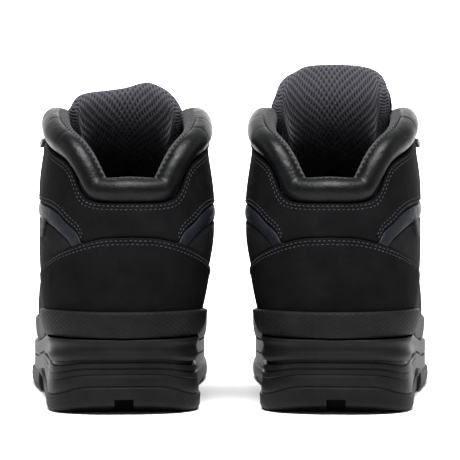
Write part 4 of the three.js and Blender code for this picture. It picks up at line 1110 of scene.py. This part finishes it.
def tread_line(q, y):
    heel = curve([(0, 4.5), (14, 0.6), (22, 0), (HEEL_BREAST, 0)], y)
    ball = curve([(BALL_START, 0), (0.78 * L, 0), (0.88 * L, 0.25 * TOE_SPRING), (L, TOE_SPRING)], y)
    arch = 11 * ease(y, HEEL_BREAST, HEEL_BREAST + 3) * (1 - ease(y, BALL_START - 3, BALL_START))
    return np.maximum(np.where(y < HEEL_BREAST, heel, np.where(y < BALL_START, 0, ball)), 0) + arch


def at_heel(y):
    return 1 - ease(y, HEEL_BREAST - 4, HEEL_BREAST + 8)


def sole_level(share, grow_heel, grow_ball):
    grow = lambda q, y: mix(grow_ball, grow_heel, at_heel(y))
    return grow, lambda q, y: mix(tread_line(q, y), rubber_top(q, y), share)


def cutters(name, hand, boxes):
    """Blocks as one object: centre x, y, z, size x, y, z and a turn about the vertical."""
    points, faces = [], []
    corner = np.array([[x, y, z] for x in (-1, 1) for y in (-1, 1) for z in (-1, 1)], float) / 2
    for x, y, z, dx, dy, dz, turn in boxes:
        start = len(points)
        c, s = math.cos(turn), math.sin(turn)
        at = corner * [dx, dy, dz]
        at = np.stack([at[:, 0] * c - at[:, 1] * s, at[:, 0] * s + at[:, 1] * c, at[:, 2]], -1) + [x, y, z]
        points += at.tolist()
        for face in ((0, 1, 3, 2), (4, 6, 7, 5), (0, 4, 5, 1), (2, 3, 7, 6), (0, 2, 6, 4), (1, 5, 7, 3)):
            faces.append([start + k for k in face])
    return mesh_object(name, points, faces, hand, smooth=False)


def carve(piece, tool):
    """Cuts the tool's blocks out of a piece and throws the tool away."""
    cut = piece.modifiers.new("cut", "BOOLEAN")
    cut.object = tool
    cut.solver = "EXACT"
    seen = piece.evaluated_get(bpy.context.evaluated_depsgraph_get())
    mesh = bpy.data.meshes.new_from_object(seen)
    piece.modifiers.clear()
    piece.data = mesh
    bpy.data.objects.remove(tool)
    mesh.shade_smooth()
    mesh.set_sharp_from_angle(angle=math.radians(38))


outsole_rubber = moulded_rubber("black_nitrile_rubber", "#0d0d0e", "#151516", 0.6, 0.0009, 0.00022)
midsole_foam = moulded_rubber("black_polyurethane_midsole", "#0e0e0f", "#161617", 0.5, 0.0005, 0.00005)
for boot, hand in BOOTS:
    rubber = sole_slab(
        f"{boot}_outsole_rubber",
        hand,
        [
            sole_level(0, -4.6, -2.2),
            sole_level(0.06, -2.4, -0.8),
            sole_level(0.16, -1.1, 0.4),
            sole_level(0.32, -0.5, 1.2),
            sole_level(0.6, -0.4, 1.5),
            sole_level(0.92, -0.3, 1.3),
            sole_level(0.97, -0.8, 0.9),
            sole_level(1.0, -2.2, 0.4),
        ],
    )
    blocks = [(0, 7, 4.4, 10.4, 26, 8.4, 0)]
    blocks += [(0, y, 0, 150, GROOVE, 2 * TREAD_DEPTH, 0) for y in (40, 66)]
    first, chevrons = BALL_START + 18, 5
    for k in range(chevrons):
        y = first + k * (0.86 * L - first) / (chevrons - 1)
        z = float(tread_line(0, np.array(y)))
        blocks += [(s * 38, y, z, 60, GROOVE, 2 * TREAD_DEPTH, s * 0.22) for s in (1, -1)]
    carve(rubber, cutters(f"{boot}_mould_blocks", hand, blocks))
    run = 0.9 * L - BALL_START - 14
    bar = (-2, (BALL_START + 0.9 * L) / 2, 0, 7, run, 2 * TREAD_DEPTH - 0.6, 0)
    carve(rubber, cutters(f"{boot}_mould_bar", hand, [bar]))
    fit(rubber, boot, ["outsole"], outsole_rubber)

# The midsole's side, from its lip down: height above the ground at the heel and how far it stands in.
MIDSOLE_SIDE = (
    (41.0, -3.2), (41.0, -1.2), (40.4, -0.8), (39.4, -0.9), (38.4, -1.7), (36.6, -2.4), (34.6, -2.1), (33.3, -1.4),
    (32.3, -1.2), (31.3, -1.5), (30.4, -2.2), (29.6, -2.6), (29.2, -4.2), (27.6, -4.2), (27.2, -2.5),
    (25.6, -2.0), (24.9, -2.1), (24.6, -2.9), (23.8, -2.9), (23.5, -2.0), (21.2, -1.7), (20.7, -2.2), (20.2, -1.8),
    (17.4, -1.3), (15.0, -1.2), (13.6, -1.5), (12.9, -2.2), (12.0, -4.0),
)
MIDSOLE_BASE, MIDSOLE_TOP = 12.0, 41.0


def midsole_level(height, grow):
    share = (height - MIDSOLE_BASE) / (MIDSOLE_TOP - MIDSOLE_BASE)
    fade = lambda y: 1 - ease(y, 0.22 * L, 0.42 * L)
    low = lambda q, y: rubber_top(q, y) - 1.5
    return (
        lambda q, y: mix(-0.2 + min(grow + 3, 0), grow, fade(y)),
        lambda q, y: mix(low(q, y), foot_line(y) - 0.5, np.full(np.shape(y), share)),
    )


for boot, hand in BOOTS:
    foam = sole_slab(f"{boot}_midsole_foam", hand, [midsole_level(z, grow) for z, grow in MIDSOLE_SIDE[::-1]])
    foam.data.set_sharp_from_angle(angle=math.radians(40))
    fit(foam, boot, ["midsole"], midsole_foam)

# --- The rand -----------------------------------------------------------------------------------
# A rubber bumper 15 mm tall runs all round the foot above the midsole. It overhangs a little, and
# its face is moulded with a fine net of diamonds that keeps scuffs from showing.
RAND_HEIGHT = 15


def rand_rubber():
    made, tree, shader = new_finish("black_rand_rubber", Roughness=0.6, IOR=1.52, Specular_IOR_Level=0.06)
    place = mottled(tree, shader, "#0e0e0f", "#161617", 0.016)
    lay = add(tree, "TexCoord").outputs["UV"]
    spread = add(tree, "Mapping", {"Vector": lay, "Scale": (1 / 0.0042, 1 / 0.0026, 1)})
    turned = add(tree, "Mapping", {"Vector": spread.outputs["Vector"], "Rotation": (0, 0, math.radians(45))})
    net = add(tree, "TexVoronoi", {"Vector": turned.outputs["Vector"], "Scale": math.sqrt(2), "Randomness": 0.0})
    grit = add(tree, "TexNoise", {"Vector": place, "Scale": 1 / 0.0006, "Detail": 2.0})
    rise = add(tree, "Math", {0: 1.0, 1: net.outputs["Distance"]}, operation="SUBTRACT")
    rough_up(tree, shader, (rise.outputs["Value"], 0.00045), (grit.outputs["Fac"], 0.00006))
    return made


def rand_top(q):
    y = mix(back_y(0.1), front_y(0.1), fold(q)[1])
    wanted = foot_line(y) + RAND_HEIGHT
    low, high = np.zeros(np.shape(q)), np.full(np.shape(q), 0.5)
    for _ in range(24):
        t = (low + high) / 2
        under = skin(q, t)[..., 2] < wanted
        low, high = np.where(under, t, low), np.where(under, high, t)
    return low


rand_finish = rand_rubber()
for boot, hand in BOOTS:
    def rand_place(a, b):
        q = mix(-1, 1, a)
        return q, mix(0.0, rand_top(q), b)

    ball = lambda q: ease(q, 0.35, 0.5) * (1 - ease(q, 0.8, 0.95))
    bulge = lambda q, t, b: SKIN_INSET + 0.15 + 0.35 * np.sin(np.pi * b) - 0.3 * b - 2.2 * ball(q)
    bumper = panel(f"{boot}_rand_rubber", hand, rand_place, bulge, 0.6, step=1.6, edge=1.3, ring=True)
    fit(bumper, boot, ["rand"], rand_finish)

# --- Inside the sole and the toe ----------------------------------------------------------------
# The parts nobody sees until the boot is cut open: a fibre insole board, a spring steel shank, a
# steel toe cap dipped in grey primer, a stiff fibre heel counter, and the moulded foam footbed.
def pressed_fibre(name, dark, light):
    """Pressed cellulose board: pale flecks in a darker felt."""
    made, tree, shader = new_finish(name, Roughness=0.85, Specular_IOR_Level=0.25)
    place = mottled(tree, shader, dark, light, 0.0015)
    felt = add(tree, "TexNoise", {"Vector": place, "Scale": 1 / 0.0008, "Detail": 4.0, "Roughness": 0.7})
    rough_up(tree, shader, (felt.outputs["Fac"], 0.00025))
    return made


board_fibre = pressed_fibre("grey_cellulose_board", "#4b4741", "#6d675e")
counter_fibre = pressed_fibre("dark_counter_fibre", "#3c3833", "#57514a")
toe_steel = plated_steel("grey_primed_toe_steel", "#55595c", "#6f7376", 0.42)
shank_steel = plated_steel("spring_steel", "#6e7073", "#909296", 0.32)
for boot, hand in BOOTS:
    inside = {
        "insole_board": board_fibre,
        "heel_counter": counter_fibre,
        "steel_toe_cap": toe_steel,
        "shank": shank_steel,
        "footbed": footbed_mesh,
    }
    for node, finish in inside.items():
        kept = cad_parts[f"{boot}_{node}"]
        kept.data.materials.clear()
        kept.data.materials.append(finish)

# --- Stitches -----------------------------------------------------------------------------------
# Bonded nylon thread, 0.56 mm thick, in grey that shows against the black. Each stitch is 1.5 mm long
# and sinks at both ends. Main seams carry two rows, and edges that are only bound carry one.
STITCH, STITCH_PITCH, THREAD = 1.5, 2.7, 0.28


def thread_finish():
    made, tree, shader = new_finish("grey_bonded_nylon", Roughness=0.7, Specular_IOR_Level=0.1)
    place = mottled(tree, shader, "#262628", "#3b3b3e", 0.004)
    twist = add(tree, "TexNoise", {"Vector": place, "Scale": 1 / 0.0005, "Detail": 2.0})
    rough_up(tree, shader, (twist.outputs["Fac"], 0.0001))
    return made


def stitch_row(points, normals):
    """One capsule per stitch, laid along a line on the leather."""
    travel = np.r_[0, np.linalg.norm(np.diff(points, axis=0), axis=1).cumsum()]
    starts = np.arange(STITCH_PITCH / 2, travel[-1] - STITCH, STITCH_PITCH)
    at = lambda s, v: np.stack([np.interp(s, travel, v[:, k]) for k in range(3)], -1)
    verts, faces = [], []
    share = np.array([0.0, 0.1, 0.5, 0.9, 1.0])
    radius = THREAD * np.array([0.35, 0.9, 1.0, 0.9, 0.35])
    lift = np.array([-0.28, 0.0, 0.14, 0.0, -0.28])
    angle = np.linspace(0, 2 * math.pi, 6, endpoint=False)
    for s in starts:
        line = at(s + share * STITCH, points)
        n = unit(at(s + share * STITCH, normals))
        ahead = unit(line[-1] - line[0])
        side = unit(np.cross(ahead, n))
        start = len(verts)
        for p, r, h, up, across in zip(line, radius, lift, n, side):
            verts += [p + up * (h + r * math.sin(w)) + across * r * math.cos(w) for w in angle]
        for i in range(4):
            for k in range(6):
                a, b = start + 6 * i + k, start + 6 * i + (k + 1) % 6
                faces.append((a, b, b + 6, a + 6))
        faces.append(tuple(start + k for k in range(5, -1, -1)))
        faces.append(tuple(start + 24 + k for k in range(6)))
    return verts, faces


def sew(name, boot, hand, rows):
    """Rows of stitches as one piece that rides with the boot."""
    verts, faces = [], []
    for points, normals in rows:
        more, ring = stitch_row(points, normals)
        faces += [tuple(k + len(verts) for k in face) for face in ring]
        verts += [v.tolist() for v in more]
    width = max(len(face) for face in faces)
    quads = [face for face in faces if len(face) == 4]
    caps = [face for face in faces if len(face) == width and width != 4]
    made = mesh_object(name, np.array(verts), np.array(quads), hand)
    work = bmesh.new()
    work.from_mesh(made.data)
    work.verts.ensure_lookup_table()
    for cap in caps:
        work.faces.new([work.verts[k] for k in cap])
    bmesh.ops.recalc_face_normals(work, faces=work.faces)
    work.to_mesh(made.data)
    work.free()
    made.data.shade_smooth()
    return fit(made, boot, [], thread)


def seam_line(q, t, off, below=0.0):
    """A line on the leather, moved down it by some millimetres."""
    q, t = np.broadcast_arrays(np.asarray(q, float), np.asarray(t, float))
    t = t - below / mm_per_t(q, t)
    return off_skin(q, t, off), skin_normal(q, t)


thread = thread_finish()
for boot, hand in BOOTS:
    q = np.linspace(-0.655, 0.655, 700)
    rim = [seam_line(q, 1.0, 0.62, d) for d in (1.8, 3.8)]
    q = np.linspace(ACCENT_START + 0.01, 0.7, 400)
    low = [seam_line(s * q, wrap_low(q), 0.62, -d) for d in (2.0, 4.0) for s in (1, -1)]
    sew(f"{boot}_ankle_wrap_stitches", boot, hand, rim + low)
    q = np.linspace(-0.33, 0.33, 500)
    sew(f"{boot}_heel_cover_stitches", boot, hand, [seam_line(q, heel_top(q), 1.42, d) for d in (2.2, 4.2)])
    rows_here = []
    for s in (1, -1):
        q = s * np.linspace(0.3, VAMP_BACK - 0.02, 300)
        rows_here.append(seam_line(q, accent_foot(q), 0.2, 2.6))
        t = np.linspace(EYESTAY_FOOT + 0.03, 0.985, 260)
        back, front = eyestay_back(t), throat_edge(t)
        rows_here.append(seam_line(s * (back + 3 / mm_per_q(back, t)), t, EYESTAY_OUT + 0.15))
        rows_here.append(seam_line(s * (front - 2.6 / mm_per_q(front, t)), t, EYESTAY_OUT + 0.15))
    sew(f"{boot}_quarter_stitches", boot, hand, rows_here)
    q = np.linspace(0.7, 1.3, 400)
    toe_rows = [seam_line(q, toe_cover_top(q), 1.78, d) for d in (2.4, 4.6)]
    q = np.linspace(VAMP_BACK + 0.02, 2 - VAMP_BACK - 0.02, 400)
    sew(f"{boot}_vamp_stitches", boot, hand, toe_rows + [seam_line(q, vamp_top(q), 0.2, 2.6)])

# --- The side tab -------------------------------------------------------------------------------
# A plain folded tab of grey woven tape, caught in the seam under the strip on each outer side.
tab_tape = polyester_braid("grey_woven_tape", "#202023", "#333337")
for boot, hand in BOOTS:
    foot = float(accent_foot(0.335))
    tab_place = low_high(foot - 0.075, foot + 0.01, 0.318, 0.352)
    tab = panel(f"{boot}_side_tab", hand, tab_place, 1.9, 0.3, step=1.0, edge=0.5)
    fit(tab, boot, [], tab_tape)

# --- The room -----------------------------------------------------------------------------------
# A pale paper sweep makes the floor and the backdrop. One large soft box hangs above the boots, a
# small one lights their heels from the camera's side, and others light the backdrop and both sides.
def paper():
    made, tree, shader = new_finish("pale_paper", Roughness=1.0, Specular_IOR_Level=0.0)
    mottled(tree, shader, "#fbfbfb", "#ffffff", 0.5)
    return made


flat = [(y, 0) for y in (-4, -2, -1, -0.5, 0, 0.4, 0.8, 1.2)]
sweep = flat + [(1.9, 0.03), (2.5, 0.25), (2.9, 0.8), (3.0, 1.6), (3.0, 4)]
route = smooth_route([(0, y, z) for y, z in sweep], 0.05)
across = np.array([-4.0, 4.0])
sheet_points = [(x, y, z) for _, y, z in route for x in across]
backdrop_mesh = bpy.data.meshes.new("backdrop")
strips = [(2 * k, 2 * k + 1, 2 * k + 3, 2 * k + 2) for k in range(len(route) - 1)]
backdrop_mesh.from_pydata(sheet_points, [], strips)
backdrop_mesh.shade_smooth()
backdrop = bpy.data.objects.new("backdrop", backdrop_mesh)
backdrop.data.materials.append(paper())
bpy.context.scene.collection.objects.link(backdrop)

world = bpy.data.worlds.new("studio")
world.use_nodes = True
world.node_tree.nodes["Background"].inputs["Color"].default_value = colour("#ffffff")
world.node_tree.nodes["Background"].inputs["Strength"].default_value = 0.16
bpy.context.scene.world = world


def softbox(name, place, target, size, watts):
    lamp = bpy.data.lights.new(name, "AREA")
    lamp.shape = "RECTANGLE"
    lamp.size, lamp.size_y = size
    lamp.energy = watts
    made = bpy.data.objects.new(name, lamp)
    made.location = place
    made.rotation_euler = (Vector(target) - Vector(place)).to_track_quat("-Z", "Y").to_euler()
    bpy.context.scene.collection.objects.link(made)


softbox("top_box", (0, -0.5, 1.4), (0, 0, 0.1), (0.95, 0.6), 54)
softbox("backdrop_box", (0, 1.3, 1.5), (0, 3.2, 0.3), (3.0, 1.0), 150)
softbox("left_box", (-1.6, 0.1, 0.7), (0, 0, 0.1), (0.5, 0.9), 3)
softbox("right_box", (1.6, 0.1, 0.7), (0, 0, 0.1), (0.5, 0.9), 3)
softbox("back_box", (0, -0.95, 1.6), (0, -0.1, 0.1), (0.6, 0.4), 14)
bpy.context.scene.view_settings.view_transform = "Standard"
